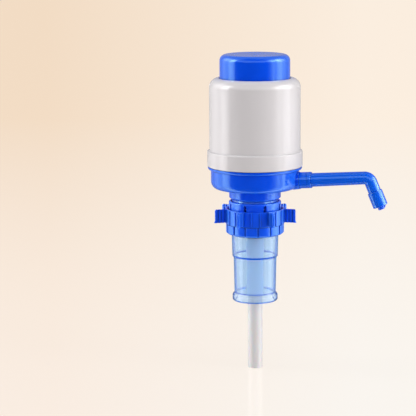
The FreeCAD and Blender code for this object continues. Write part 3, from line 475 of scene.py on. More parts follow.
socket_milk = plastic("milky_socket", "milky_plastic", (0.66, 0.78, 1.0), 0.35, drift=0.02,
                      Subsurface_Weight=0.25, Subsurface_Scale=0.004)
rubber = plastic("bellows_rubber", "bellows_rubber", (0.62, 0.64, 0.67), 0.55, drift=0.08)
silicone = plastic("silicone", "seal_rubber", (0.36, 0.46, 0.66), 0.50)
blue_silicone = plastic("silicone_blue", "seal_rubber", (0.004, 0.070, 0.55), 0.40)
steel = plastic("spring_wire", "spring_steel", (0.60, 0.60, 0.61), 0.28, drift=0.12,
                smudge=0.15, Metallic=1.0)

# %% [markdown]
# ## The clear blue
# The neck sleeve is clear plastic with a blue tint. Looked at squarely its wall is thin and
# pale. Where the wall turns away from the eye, the light runs a long way through it and comes
# out deep blue. A Layer Weight node knows how far the surface is turned, and picks the pale or
# the deep tint. The moulding is also thicker at its foot rim and at its step, so narrow bands of
# height are deep as well, and draw the rings round the sleeve. A wide band also colours the neck
# above the shoulder deep blue: painted shade inside the clamp, which the collar's slots show.

# %% Clear plastic
CLEAR_PALE = (0.68, 0.84, 1.0)
CLEAR_DEEP = (0.0, 0.15, 0.86, 1)
CLEAR_TURNED = (0.50, 0.76)
DEEP_BANDS = (  # height in millimetres, half width, soft edge, strength
    (-2.45, 0.55, 0.40, 1.0),
    (1.00, 3.30, 0.80, 0.07),
    (4.70, 0.35, 0.50, 0.6),
    (36.00, 0.55, 0.35, 1.0),
    # painted shade on the neck inside the clamp
    (74.0, 17.0, 1.5, 0.5),
)


def clear_plastic():
    material = plastic("clear_blue", "clear_blue", CLEAR_PALE, 0.03, drift=0.02, smudge=0.02,
                       peel=0.002, Transmission_Weight=0.86, IOR=1.22,
                       Coat_Weight=0.4, Coat_Roughness=0.04)
    tree = material.node_tree
    target = tree.nodes["Principled BSDF"].inputs["Base Color"]
    pale = target.links[0].from_socket
    facing = add(tree, "ShaderNodeLayerWeight", {"Blend": 0.5}).outputs["Facing"]
    deep = ramp(tree, facing, *CLEAR_TURNED)
    spot = add(tree, "ShaderNodeTexCoord").outputs["Object"]
    z = add(tree, "ShaderNodeSeparateXYZ", {"Vector": spot}).outputs["Z"]
    for height, half, soft, strength in DEEP_BANDS:
        band = ramp(tree, off_from(tree, z, height * MM), half * MM, (half + soft) * MM,
                    strength, 0.0)
        deep = maths(tree, "MAXIMUM", deep, band)
    tree.links.new(mixed(tree, deep, pale, CLEAR_DEEP), target)
    return material


clear = clear_plastic()
print("clear plastic:", clear.name)

# %% [markdown]
# ## Shape helpers
# Most of the pump is turned: a flat outline goes round an axis once. Outlines are written in
# millimetres as (radius, height), as on a drawing, and a third number rounds that corner. Two
# extra points beside each rounding keep the shading of the flat sides flat.

# %% Outlines
GUARD = 0.06  # from a rounding to its extra points
QUARTER_STEPS = 12


def rounded(points, steps=7):
    """Corners (radius, height, rounding) in millimetres as a closed outline in metres."""
    outline = []
    for i, point in enumerate(points):
        corner = Vector(point[:2])
        radius = point[2] if len(point) > 2 else 0.0
        if not radius:
            outline.append(corner * MM)
            continue
        a = (Vector(points[i - 1][:2]) - corner).normalized()
        b = (Vector(points[(i + 1) % len(points)][:2]) - corner).normalized()
        half = a.angle(b) / 2
        cut = radius / math.tan(half)
        centre = corner + (a + b).normalized() * (radius / math.sin(half))
        first, last = corner + a * cut - centre, corner + b * cut - centre
        start = math.atan2(first.y, first.x)
        turn = (math.atan2(last.y, last.x) - start + math.pi) % (2 * math.pi) - math.pi
        outline.append((corner + a * (cut + GUARD)) * MM)
        for k in range(steps + 1):
            angle = start + turn * k / steps
            outline.append((centre + radius * Vector((math.cos(angle), math.sin(angle)))) * MM)
        outline.append((corner + b * (cut + GUARD)) * MM)
    return outline


def quarter(start, corner, end):
    """Points of a quarter ellipse from start to end that touches both sides of the corner."""
    start, corner, end = Vector(start), Vector(corner), Vector(end)
    centre = start + end - corner
    points = []
    for k in range(QUARTER_STEPS + 1):
        angle = math.pi / 2 * k / QUARTER_STEPS
        spot = centre + (start - centre) * math.cos(angle) + (end - centre) * math.sin(angle)
        points.append((spot.x, spot.y))
    return points


print("a corner of 2 mm:", len(rounded([(0, 0), (9, 0, 2), (9, 9), (0, 9)])), "points")

# %% [markdown]
# A lathe joins the turned points to faces. An outline is closed, so the piece has its real
# wall and no open edge. The same helper makes a sector, such as one pad of a ring, when it
# turns less than a full circle. The normals are worked out again at the end, because the
# direction of an outline decides on which side its faces look.

# %% Lathe
LEAD_STEPS = 4  # of the rounding at each end of a sector


def as_mesh(form, name):
    mesh = bpy.data.meshes.new(name)
    form.to_mesh(mesh)
    form.free()
    return mesh


def lathe(name, points, corner_steps=4, place=None, turn=360.0, steps=160, ends=0.0):
    """A rounded outline turned round Z, and then laid along the matrix `place`.

    A turn under 360 degrees makes a sector. Its outer face rounds off over the last `ends`
    millimetres on both sides.
    """
    form = bmesh.new()
    outline = rounded(points, corner_steps)
    full = turn >= 360.0
    half = math.radians(turn) / 2
    ends *= MM
    outer = max(spot.x for spot in outline)
    inner = min(spot.x for spot in outline)
    angles = [-half + 2 * half * k / steps for k in range(steps if full else steps + 1)]
    if ends:
        lead = [ends / outer * (1 - math.cos(math.pi / 2 * k / LEAD_STEPS))
                for k in range(LEAD_STEPS)]
        span = half - ends / outer
        angles = ([-half + a for a in lead]
                  + [-span + 2 * span * k / steps for k in range(steps + 1)]
                  + [half - a for a in lead[::-1]])
    count = len(angles)
    rings = []
    for spot in outline:
        if spot.x < 1e-7:
            rings.append([form.verts.new((0, 0, spot.y))] * count)
            continue
        ring = []
        for a in angles:
            near = max(0.0, ends - (half - abs(a)) * outer)
            drop = ends - math.sqrt(max(0.0, ends ** 2 - near ** 2))
            r = spot.x - drop * (spot.x - inner) / (outer - inner)
            ring.append(form.verts.new((r * math.cos(a), r * math.sin(a), spot.y)))
        rings.append(ring)
    for i, ring in enumerate(rings):
        after = rings[(i + 1) % len(rings)]
        for k in range(count if full else count - 1):
            n = (k + 1) % count
            corners = list(dict.fromkeys([ring[k], ring[n], after[n], after[k]]))
            if len(corners) > 2:
                form.faces.new(corners)
    if not full:
        form.faces.new([ring[0] for ring in rings])
        form.faces.new([ring[-1] for ring in rings])
    bmesh.ops.recalc_face_normals(form, faces=form.faces)
    if place is not None:
        form.transform(place)
    return as_mesh(form, name)


def laid(direction, origin):
    """A matrix that lays the Z axis along a direction, with the world's Y kept as Y."""
    z = Vector(direction).normalized()
    y = Vector((0, 1, 0))
    turn = Matrix((y.cross(z), y, z)).transposed().to_4x4()
    return Matrix.Translation(Vector(origin)) @ turn


PORT = laid(joints["spout_swivel"]["axis"], joints["spout_swivel"]["pos_m"])
print("the spout turns about", [round(v, 3) for v in PORT.col[2][:3]])

# %% [markdown]
# `fit` turns a mesh into a finished piece. It smooths the faces, keeps real edges sharp, can
# round them a little with a Bevel modifier, hangs the piece on an empty for the body that
# carries it, and hides the measured solid that it stands for. `turned_piece` does this for one
# turned outline.

# %% Fitting a piece
SHARP = math.radians(32.0)


def fit(name, mesh, body, finish, *stands_for, edges=0.0):
    """edges is the width of a rounding on sharp edges, in millimetres."""
    mesh.shade_smooth()
    mesh.set_sharp_from_angle(angle=SHARP)
    mesh.materials.clear()
    mesh.materials.append(finish)
    mesh.polygons.foreach_set("material_index", [0] * len(mesh.polygons))
    piece = placed(name, mesh)
    if edges:
        bevel = piece.modifiers.new("edges", "BEVEL")
        bevel.width = edges * MM
        bevel.segments = 2
        bevel.limit_method = "ANGLE"
        bevel.angle_limit = SHARP
        bevel.harden_normals = True
    if body:
        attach(piece, body)
    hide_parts(*stands_for)
    return piece


def turned_piece(node, body, finish, points, corner_steps=7, place=None, steps=72,
                 ending="smooth"):
    mesh = lathe(node, points, corner_steps, place, steps=steps)
    piece = fit(f"{node}_{ending}", mesh, body, finish, node)
    print(piece.name, "has", len(mesh.polygons), "faces")


def together(name, *meshes):
    """One mesh from several."""
    form = bmesh.new()
    for mesh in meshes:
        form.from_mesh(mesh)
    return as_mesh(form, name)


def softened(node):
    """A copy of a measured solid with its loose triangles joined and its flat faces whole."""
    form = bmesh.new()
    form.from_mesh(nodes[node].data)
    bmesh.ops.remove_doubles(form, verts=form.verts, dist=2e-6)
    bmesh.ops.dissolve_limit(form, angle_limit=math.radians(0.6), verts=form.verts,
                             edges=form.edges)
    return as_mesh(form, node + "_soft")


print("piece helpers ready")

# %% [markdown]
# ## The press cap
# The cap is what the hand pushes: a shallow cup with a generous round at its top and a slight
# dish for the palm. It is one moulding, so it is one turned outline with its wall and the lip
# that keeps it in the housing. The tiny step in the middle is where the melt came in.

# %% Press cap
CAP_TOP = 206.15
turned_piece("press_cap", "press", blue, [
    (0, CAP_TOP - 0.92), (0.9, CAP_TOP - 0.92), (1.1, CAP_TOP - 0.76),
    (22.6, CAP_TOP - 0.02, 6.0), (29.45, CAP_TOP, 5.2), (29.45, 184.05),
    (31.45, 184.05, 0.2), (31.45, 182.25, 0.2), (27.2, 182.25), (27.2, CAP_TOP - 3.05, 2.9),
    (0, CAP_TOP - 3.05)], corner_steps=12, steps=160)

# %% [markdown]
# ## The housing
# A tall white shell with a round shoulder and a wider skirt at its foot. A hand pump like this
# lives on the reflections of its side, so the outline is turned in fine steps.

# %% Housing
HOUSING_Z = 112.65
SKIRT_TOP = 125.35
HOUSING_TOP = 186.55
turned_piece("housing", "pump_body", white, [
    (37.8, HOUSING_Z, 0.2), (40.0, HOUSING_Z, 0.6), (40.0, SKIRT_TOP, 0.75),
    (38.2, SKIRT_TOP + 0.9, 0.6), (38.2, HOUSING_TOP, 7.6), (29.9, HOUSING_TOP, 0.55),
    (29.9, HOUSING_TOP - 2.2, 0.3), (36.0, HOUSING_TOP - 2.2, 5.4), (36.0, SKIRT_TOP - 2.2),
    (37.8, SKIRT_TOP - 2.2)], corner_steps=12, steps=192)

# %% [markdown]
# ## The base
# The base is a bowl with a flange on which the skirt sits, and a stub that goes down into the
# clamp. Its floor turns up to its side in a quarter ellipse. Under the stub a bead shows in
# the open gap above the collar. The port for the spout is a second turned form along the
# spout's own axis, a little thicker where it grows out of the bowl.

# %% Base
BOWL_Z = 93.75
BOWL_SIDE_Z = 99.75
FLANGE_Z = 109.85
RIM_Z = 112.35
STUB_Z = 84.65
PORT_MOUTH = 39.11  # along the spout's axis
base_outline = [
    (16.0, 78.55), (18.2, 78.55), (18.2, 81.25), (18.5, 81.25), (19.45, 82.9, 0.9),
    (18.9, 84.2), (18.9, STUB_Z), (20.0, STUB_Z, 0.4), (21.8, STUB_Z + 1.4, 0.8),
    (21.8, BOWL_Z, 0.01),
    *quarter((32.05, BOWL_Z), (37.05, BOWL_Z), (37.05, BOWL_SIDE_Z)),
    (37.05, FLANGE_Z - 0.35), (37.4, FLANGE_Z), (39.65, FLANGE_Z, 1.6), (39.65, RIM_Z, 0.2),
    (37.5, RIM_Z), (37.5, 120.35, 0.5), (35.3, 120.35), (35.3, 112.05), (32.8, 112.05),
    (32.8, 109.55), (34.8, 109.55),
    *quarter((34.8, BOWL_SIDE_Z), (34.8, 96.0), (32.05, 96.0)),
    (19.55, 96.0), (19.55, 91.5), (16.0, 91.5)]
port_outline = [
    (3.6, 33.0), (7.75, 33.0), (7.45, 36.6), (7.3, 38.2), (7.3, PORT_MOUTH, 0.3),
    (6.0, PORT_MOUTH), (6.0, 43.1), (3.6, 43.1)]
base = fit("base_smooth", together(
    "base", lathe("bowl", base_outline, 7, steps=192),
    lathe("port", port_outline, 7, PORT, steps=72)), "pump_body", blue, "pump_base")
print("base:", len(base.data.polygons), "faces")

# %% [markdown]
# ## The neck sleeve
# The sleeve goes into the jug's neck. It is clear, so both sides of its wall show, and so do
# its foot rim, its step and its shoulder from front and back. Each of these edges is a small
# half round, because an edge that turns away from the eye is what draws a line in clear
# plastic.

# %% Neck sleeve
FOOT = -2.45
STEP_Z = 33.55
SHOULDER_Z = 54.95
turned_piece("neck_sleeve", "pump_body", clear, [
    (16.30, FOOT, 0.35), (18.55, FOOT, 0.4), (19.15, FOOT + 0.9, 0.6), (19.15, 2.45, 1.1),
    (17.50, 4.45, 1.1), (18.10, STEP_Z, 0.8), (18.45, STEP_Z + 1.6, 0.3),
    (19.20, STEP_Z + 2.1, 0.35), (19.25, STEP_Z + 2.9, 0.5), (19.75, SHOULDER_Z, 1.9),
    (16.40, SHOULDER_Z, 0.3), (16.40, 77.05), (15.20, 77.05), (15.20, SHOULDER_Z - 1.2, 0.3),
    (18.55, SHOULDER_Z - 1.2, 0.8), (17.95, 36.95, 1.0), (16.90, STEP_Z + 0.6, 1.0)],
    corner_steps=6, steps=160, ending="clear")

# %% [markdown]
# ## Hose socket and suction tube
# The socket hangs inside the sleeve and bulges to a barrel at its top. The tube is pushed into
# it from below. Both are natural plastic, which lets some light in and spreads it, and the
# tube's cut end has a tiny chamfer.

# %% Socket and tube
TUBE_END = FLOOR_Z / MM
barrel = [(7.1 + 0.7 * math.sin(math.pi * k / 12), 35.55 + 16.0 * k / 12) for k in range(13)]
turned_piece("hose_socket", "pump_body", socket_milk, [
    (6.25, 0.55), (7.1, 0.55, 0.3), (7.1, 33.0), *barrel, (5.25, 51.55), (5.25, 43.55),
    (3.6, 43.55), (3.6, 31.55), (6.25, 31.55)])
turned_piece("suction_tube", "pump_body", milky, [
    (5.0, TUBE_END, 0.12), (6.2, TUBE_END, 0.2), (6.2, 31.55), (5.0, 31.55)], corner_steps=3)

# %% [markdown]
# ## Growing pieces from rules
# Wings, ribs and pads repeat round the clamp, and the spout, the strap, the spring and the
# bellows follow a path. Geometry Nodes make these: a small tree holds the rule, and its named
# inputs hold the sizes. `grow` runs a tree on a mesh and keeps the result as a plain mesh.


# %% Trees
def new_tree(name, inputs):
    """A tree with a geometry in and out, a material, and number inputs {name: default}."""
    tree = bpy.data.node_groups.new(name, "GeometryNodeTree")
    for way in ("INPUT", "OUTPUT"):
        tree.interface.new_socket("Geometry", in_out=way, socket_type="NodeSocketGeometry")
    for label, value in inputs.items():
        kind = "NodeSocketInt" if isinstance(value, int) else "NodeSocketFloat"
        socket = tree.interface.new_socket(label, in_out="INPUT", socket_type=kind)
        socket.default_value = value
    tree.interface.new_socket("Material", in_out="INPUT", socket_type="NodeSocketMaterial")
    return tree, tree.nodes.new("NodeGroupInput").outputs


def close(tree, given, geometry):
    """The last nodes of every tree: plain geometry with its material."""
    real = made(tree, "GeometryNodeRealizeInstances", {"Geometry": geometry})
    dressed = made(tree, "GeometryNodeSetMaterial", {
        "Geometry": real, "Material": given["Material"]})
    add(tree, "NodeGroupOutput", {"Geometry": dressed})
    return tree


def swept(tree, curve, profile, scale=1.0, caps=False):
    """A profile drawn along a curve."""
    return made(tree, "GeometryNodeCurveToMesh", {
        "Curve": curve, "Profile Curve": profile, "Scale": scale, "Fill Caps": caps})


def upright(tree, z):
    """The vector (0, 0, z)."""
    return made(tree, "ShaderNodeCombineXYZ", {"Z": z})


def circle(tree, sides, radius=1.0):
    return made(tree, "GeometryNodeCurvePrimitiveCircle", {
        "Resolution": sides, "Radius": radius})


def final_mesh(carrier):
    """What an object's modifiers make of its mesh. The object itself goes."""
    seen = carrier.evaluated_get(bpy.context.evaluated_depsgraph_get())
    mesh = bpy.data.meshes.new_from_object(seen)
    bpy.data.objects.remove(carrier)
    return mesh


def grow(tree, mesh, finish, **values):
    """Runs a tree on a mesh; an input is named with _ for each space."""
    carrier = placed("carrier", mesh)
    modifier = carrier.modifiers.new("growth", "NODES")
    modifier.node_group = tree
    sockets = {item.name: item.identifier for item in tree.interface.items_tree
               if item.in_out == "INPUT"}
    for label, value in {**values, "Material": finish}.items():
        modifier[sockets[label.replace("_", " ")]] = value
    return final_mesh(carrier)


def round_pattern():
    """Copies of the input mesh round the Z axis."""
    tree, given = new_tree("round_pattern", {"Count": 7, "First Angle": 0.0})
    spots = made(tree, "GeometryNodePoints", {"Count": given["Count"]})
    step = maths(tree, "DIVIDE", 2 * math.pi, given["Count"])
    index = made(tree, "GeometryNodeInputIndex")
    angle = maths(tree, "ADD", maths(tree, "MULTIPLY", index, step), given["First Angle"])
    rotation = made(tree, "FunctionNodeEulerToRotation", {"Euler": upright(tree, angle)})
    copies = made(tree, "GeometryNodeInstanceOnPoints", {
        "Points": spots, "Instance": given["Geometry"], "Rotation": rotation})
    return close(tree, given, copies)


ROUND = round_pattern()
print("tree:", ROUND.name)

# %% [markdown]
# ## The clamp
# The collar's slotted fingers grip the sleeve, and the nut presses them together. The collar is
# the measured solid with its edges broken. The nut is a turned body with seven wings. A wing is
# a stack of level outlines with three grip grooves on both faces. Its foot flares, and its top
# corner is round for the fingers. Between the wings stand low ribs, two to each gap.

# %% Collar
fit("clamp_collar_smooth", softened("clamp_collar"), "pump_body", grip_blue, "clamp_collar",
    edges=0.12)

# %% Wings and ribs
NUT_Z = 63.75
NUT_TOP = 76.45
NUT_R = 24.9
ROOT = 1.0  # wings and ribs start this far inside the nut
LUGS = 7
LUGS_ANGLE = math.radians(-74.0)
LUG_R = 34.7
LUG_ROUND = 1.4  # at the top corner
LUG_EDGE = 0.3  # along the top
LUG_TIP = 0.45
LUG_FOOT = (  # height over the nut's lower face, reach, half the thickness
    (1.2, 35.15, 0.75),
    (1.3, 35.33, 0.92),
    (1.5, 35.4, 1.0),
    (2.2, 35.05, 1.0),
    (3.2, LUG_R, 1.0),
    (6.2, LUG_R, 1.0),
)
GROOVES = 3
GROOVE_PITCH = 2.8
GROOVE_START = 0.6  # of a pitch, from the nut to the first groove's middle
GROOVE_DEPTH = 0.7
GROOVE_TOP, GROOVE_FLOOR = 0.65, 0.5  # half widths
RIB = ((-ROOT, 0.6), (0.60, 0.6), (0.82, 0.5), (0.90, 0.25))  # out from the nut, half width
RIB_IN = 0.3  # shorter than the nut at both ends


def both_sides(side):
    """A closed outline from its upper side."""
    return side + [(x, -y) for x, y in side[::-1]]


def level_outline(reach, half):
    """One level of a wing along +X, grooved on both faces and round at its tip."""
    side = [(NUT_R - ROOT, half)]
    for k in range(GROOVES):
        middle = NUT_R + GROOVE_PITCH * (k + GROOVE_START)
        side += [(middle - GROOVE_TOP, half), (middle - GROOVE_FLOOR, half - GROOVE_DEPTH),
                 (middle + GROOVE_FLOOR, half - GROOVE_DEPTH), (middle + GROOVE_TOP, half)]
    for k in range(5):
        angle = math.pi / 2 * k / 4
        side.append((reach - LUG_TIP + LUG_TIP * math.sin(angle),
                     half - LUG_TIP + LUG_TIP * math.cos(angle)))
    return both_sides(side)


def stacked(name, levels):
    """A solid from outlines (height, points) in millimetres with equal numbers of points."""
    form = bmesh.new()
    rings = [[form.verts.new((x * MM, y * MM, z * MM)) for x, y in points]
             for z, points in levels]
    for low, high in zip(rings, rings[1:]):
        for i in range(len(low)):
            n = (i + 1) % len(low)
            form.faces.new((low[i], low[n], high[n], high[i]))
    form.faces.new(rings[0])
    form.faces.new(rings[-1])
    bmesh.ops.recalc_face_normals(form, faces=form.faces)
    return as_mesh(form, name)


def wing():
    levels = [(NUT_Z + z, reach, half) for z, reach, half in LUG_FOOT]
    for k in range(9):
        angle = math.pi / 2 * k / 8
        z = NUT_TOP - LUG_ROUND + LUG_ROUND * math.sin(angle)
        over = max(0.0, z - NUT_TOP + LUG_EDGE) / LUG_EDGE
        half = 1.0 - LUG_EDGE * (1 - math.sqrt(max(0.0, 1 - over * over)))
        levels.append((z, LUG_R - LUG_ROUND + LUG_ROUND * math.cos(angle), half))
    return stacked("wing", [(z, level_outline(reach, half)) for z, reach, half in levels])


def rib():
    across = both_sides([(NUT_R + out, half) for out, half in RIB])
    return stacked("rib", [(NUT_Z + RIB_IN, across), (NUT_TOP - RIB_IN, across)])


def round_clamp(mesh, count, first_angle):
    return grow(ROUND, mesh, grip_blue, Count=count, First_Angle=first_angle)


PITCH = 2 * math.pi / LUGS
nut_body = lathe("nut_body", [
    (22.55, NUT_Z), (NUT_R, NUT_Z, 0.3), (NUT_R, NUT_TOP, 0.3), (23.6, NUT_TOP, 0.2),
    (23.6, 74.65), (22.15, 74.65), (22.15, 66.4), (23.15, 66.4), (23.15, 65.4),
    (22.55, 65.4)])
wing_nut = fit("wing_nut_smooth", together(
    "wing_nut", nut_body, round_clamp(wing(), LUGS, LUGS_ANGLE + PITCH / 2),
    round_clamp(rib(), LUGS, LUGS_ANGLE + PITCH / 6),
    round_clamp(rib(), LUGS, LUGS_ANGLE - PITCH / 6)), "clamp_nut", grip_blue, "wing_nut")
print("wing nut:", len(wing_nut.data.polygons), "faces")

# %% [markdown]
# Under the nut sits the lock ring with fourteen grip pads. Its core is turned to the bottom of
# the grooves, and one pad is a sector of the full outline, repeated round the axis. What is
# left open between two pads is a groove.

# %% Lock ring
RING_Z = 54.95
RING_TOP = 63.45
PADS = 14
PAD_TURN = 360 / PADS - 2.87  # degrees, less the groove
FIRST_GROOVE = math.radians(-69.5)
CORE_TOP = RING_TOP - 0.02
ring_core = lathe("ring_core", [
    (16.7, RING_Z), (22.8, RING_Z, 0.2), (23.5, RING_Z + 0.576), (23.5, CORE_TOP),
    (22.5, CORE_TOP), (22.5, 65.55), (23.1, 65.55), (22.5, 66.35), (21.4, 66.35),
    (21.4, 56.65), (16.7, 56.65)])
pad = lathe("pad", [
    (23.3, 55.362), (24.5, 56.35, 0.5), (24.5, RING_TOP, 0.35), (23.3, RING_TOP)],
    turn=PAD_TURN, steps=8, ends=0.55)
fit("lock_ring_smooth", together(
    "lock_ring", ring_core, round_clamp(pad, PADS, FIRST_GROOVE + math.pi / PADS)),
    "thrust_ring", grip_blue, "lock_ring")
print("lock ring:", PADS, "pads")

# %% [markdown]
# ## The spout
# The spout is one bent tube that swings in the port. A tree turns a path into a tube: it rounds
# the path's corner to the bend, and a `girth` value on each point sets how thick the tube is
# there, so it tapers from root to elbow. Solidify then gives it its wall. The root that turns
# inside the cuff, the cuff itself and the nozzle's sleeve are turned pieces on the same axes.


# %% Tube tree
def tube_tree():
    """A round tube along the edges of the input mesh; its girth attribute is the radius."""
    tree, given = new_tree("tube_on_path", {
        "Bend Radius": 0.0056, "Bend Steps": 14, "Sides": 64})
    path = made(tree, "GeometryNodeMeshToCurve", {"Mesh": given["Geometry"]})
    bend = made(tree, "GeometryNodeFilletCurve", {
        "Curve": path, "Count": given["Bend Steps"], "Radius": given["Bend Radius"],
        "Limit Radius": True}, mode="POLY")
    girth = made(tree, "GeometryNodeInputNamedAttribute", {"Name": "girth"}, data_type="FLOAT")
    return close(tree, given, swept(tree, bend, circle(tree, given["Sides"]), girth))


def path_mesh(name, points, girths=None):
    """Points in metres, joined by edges, with a girth in metres on each."""
    mesh = bpy.data.meshes.new(name)
    mesh.from_pydata(points, [(i, i + 1) for i in range(len(points) - 1)], [])
    if girths:
        mesh.attributes.new("girth", "FLOAT", "POINT").data.foreach_set("value", girths)
    return mesh


TUBE = tube_tree()
print("tree:", TUBE.name)

# %% Spout
SPOUT_START = 49.31  # along the port's axis
ELBOW = 97.61  # along the port's axis, to the corner
SPOUT_TURN = 71.5
NOZZLE = 25.4  # from the corner to the mouth
MOUTH_DEPTH = 2.2  # the tube ends this far inside the nozzle's sleeve
BEND = 5.6
ROOT_R, TIP_R, WALL_T = 5.75, 5.35, 1.55
rise = math.asin(PORT.col[2].z)
down = rise - math.radians(SPOUT_TURN)
WAY = Vector((math.cos(down), 0, math.sin(down)))
CORNER = PORT @ Vector((0, 0, ELBOW * MM))
MOUTH_AT = CORNER + WAY * NOZZLE * MM
MOUTH = laid(WAY, MOUTH_AT)
spout_path = path_mesh("spout_path", [
    PORT @ Vector((0, 0, SPOUT_START * MM)), CORNER,
    CORNER + WAY * (NOZZLE - MOUTH_DEPTH) * MM], [ROOT_R * MM, TIP_R * MM, TIP_R * MM])
tube_skin = grow(TUBE, spout_path, spout_blue, Bend_Radius=BEND * MM, Bend_Steps=16, Sides=72)


def walled(mesh, wall):
    """The closed wall of an open skin, inwards, in millimetres."""
    form = bmesh.new()
    form.from_mesh(mesh)
    bmesh.ops.remove_doubles(form, verts=form.verts, dist=1e-7)
    bmesh.ops.recalc_face_normals(form, faces=form.faces)
    skin = placed("skin", as_mesh(form, "skin"))
    thick = skin.modifiers.new("wall", "SOLIDIFY")
    thick.thickness = wall * MM
    thick.offset = -1.0
    thick.use_even_offset = True
    return final_mesh(skin)


spout_root = lathe("spout_root", [
    (2.6, 39.91), (3.6, 39.91, 0.2), (3.6, 43.31), (6.0, 43.31, 0.2), (6.0, 45.11, 0.2),
    (5.3, 45.11), (5.3, SPOUT_START), (5.45, SPOUT_START), (5.72, SPOUT_START + 0.25),
    (5.70, SPOUT_START + 0.6), (4.3, SPOUT_START + 0.6), (4.3, 45.6), (2.6, 45.6)],
    place=PORT, steps=72)
fit("spout_tube_smooth", together("spout", walled(tube_skin, WALL_T), spout_root), "spout",
    spout_blue, "spout_tube")
print("spout's mouth at", [round(v / MM, 1) for v in MOUTH_AT])

# %% Cuff, nozzle sleeve and seal
O_RING_R = 0.6
turned_piece("spout_cuff", "pump_body", spout_blue, [
    (6.05, 39.21), (6.8, 39.21, 0.2), (6.8, 45.85), (6.62, 45.95), (6.62, 46.15),
    (6.8, 46.25), (6.8, 49.01, 0.5), (5.35, 49.01, 0.2), (5.35, 45.31), (6.05, 45.31)],
    corner_steps=5, place=PORT)
turned_piece("nozzle_sleeve", "spout", spout_blue, [
    (5.4, -13.0), (6.23, -13.0, 0.35), (6.23, 0, 0.35), (5.25, 0, 0.2),
    (5.25, -MOUTH_DEPTH), (5.4, -MOUTH_DEPTH)], corner_steps=5, place=MOUTH)
turned_piece("spout_seal", "spout", silicone, [
    (4.25 + O_RING_R * math.cos(math.tau * k / 24), 41.61 + O_RING_R * math.sin(math.tau * k / 24))
    for k in range(24)], place=PORT)

# %% [markdown]
# ## Plug and strap
# The dust plug hinges on a flat strap that loops out from the nozzle's sleeve. The plug is the
# measured solid with its edges broken. The strap is a rounded band along a path.


# %% Plug and strap
def strap_tree():
    """A band with round edges along the input path."""
    tree, given = new_tree("band_on_path", {
        "Width": 0.004, "Thickness": 0.0012, "Edge": 0.0004})
    path = made(tree, "GeometryNodeMeshToCurve", {"Mesh": given["Geometry"]})
    section = made(tree, "GeometryNodeCurvePrimitiveQuadrilateral", {
        "Width": given["Thickness"], "Height": given["Width"]})
    corners = made(tree, "GeometryNodeFilletCurve", {
        "Curve": section, "Count": 4, "Radius": given["Edge"]}, mode="POLY")
    return close(tree, given, swept(tree, path, corners, caps=True))


STRAP_OUT = 9.23  # straight part's end, off the nozzle's axis
STRAP_ROOT = -11.5  # along the nozzle's axis, from its mouth
STRAP_END = 1.2
LOOP = (STRAP_END - STRAP_ROOT) / 2
strap_line = [(6.0, STRAP_ROOT), (7.5, STRAP_ROOT), (STRAP_OUT, STRAP_ROOT)]
for k in range(1, 24):
    angle = math.pi * k / 24
    strap_line.append((STRAP_OUT + LOOP * math.sin(angle),
                       STRAP_END - LOOP - LOOP * math.cos(angle)))
strap_line += [(STRAP_OUT, STRAP_END), (8.6, STRAP_END), (7.55, STRAP_END)]
strap_path = path_mesh("strap_path", [MOUTH @ Vector((0, y * MM, z * MM)) for y, z in strap_line])
strap = fit("dust_strap_smooth", grow(
    strap_tree(), strap_path, soft_blue, Width=4.0 * MM, Thickness=1.2 * MM, Edge=0.4 * MM),
    None, soft_blue, "dust_strap")
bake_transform(strap)
fit("dust_plug_smooth", softened("dust_plug"), "plug", soft_blue, "dust_plug", edges=0.2)
print("strap:", len(strap_line), "points along a loop of", LOOP, "mm")

# %% [markdown]
# ## Bellows and spring
# These two are hidden in the housing. On the real pump both shorten when the cap goes down. A
# tree turns the bellows' folds with a wave on a straight line, and another winds the spring
# from a spiral.


# %% Bellows
def bellows_tree():
    """An open skin of folds along Z: a wave of the given depth on a straight line."""
    tree, given = new_tree("bellows_folds", {
        "Bottom": 0.12, "Top": 0.17, "Folds": 6, "Peak": 0.034, "Depth": 0.005})
    line = made(tree, "GeometryNodeCurvePrimitiveLine", {
        "Start": upright(tree, given["Bottom"]), "End": upright(tree, given["Top"])})
    steps = maths(tree, "ADD", maths(tree, "MULTIPLY", given["Folds"], 12), 1)
    fine = made(tree, "GeometryNodeResampleCurve", {"Curve": line, "Count": steps})
    up = made(tree, "GeometryNodeSplineParameter")
    phase = maths(tree, "MULTIPLY", up, maths(tree, "MULTIPLY", given["Folds"], math.tau))
    wave = maths(tree, "MULTIPLY", maths(tree, "ADD", maths(tree, "COSINE", phase), 1.0), 0.5)
    radius = maths(tree, "SUBTRACT", given["Peak"], maths(tree, "MULTIPLY", wave, given["Depth"]))
    return close(tree, given, swept(tree, fine, circle(tree, 96), radius))


FOOT_Z = 115.55
FOLDS_TOP = 172.4
NECK_Z = 172.45
# With the cap down, 0.736 of their height is left.
seed = path_mesh("seed", [(0, 0, 0)])
folds = walled(grow(bellows_tree(), seed, rubber, Bottom=119.55 * MM, Top=FOLDS_TOP * MM,
                    Folds=6, Peak=33.6 * MM, Depth=5.2 * MM), 1.2)
bellows_foot = lathe("bellows_foot", [
    (27.2, FOOT_Z), (34.8, FOOT_Z, 0.2), (34.8, FOOT_Z + 1.5, 0.3), (28.4, FOOT_Z + 1.5, 0.6),
    (28.4, 119.9), (27.2, 119.9)], steps=96)
bellows_neck = lathe("bellows_neck", [
    (28.55, NECK_Z), (29.75, NECK_Z, 0.3), (29.75, 179.95, 0.2), (28.55, 179.95)], steps=96)
bellows = fit("bellows_soft", together("bellows", folds, bellows_foot, bellows_neck), None,
              rubber, "bellows")
print("bellows:", len(bellows.data.polygons), "faces")


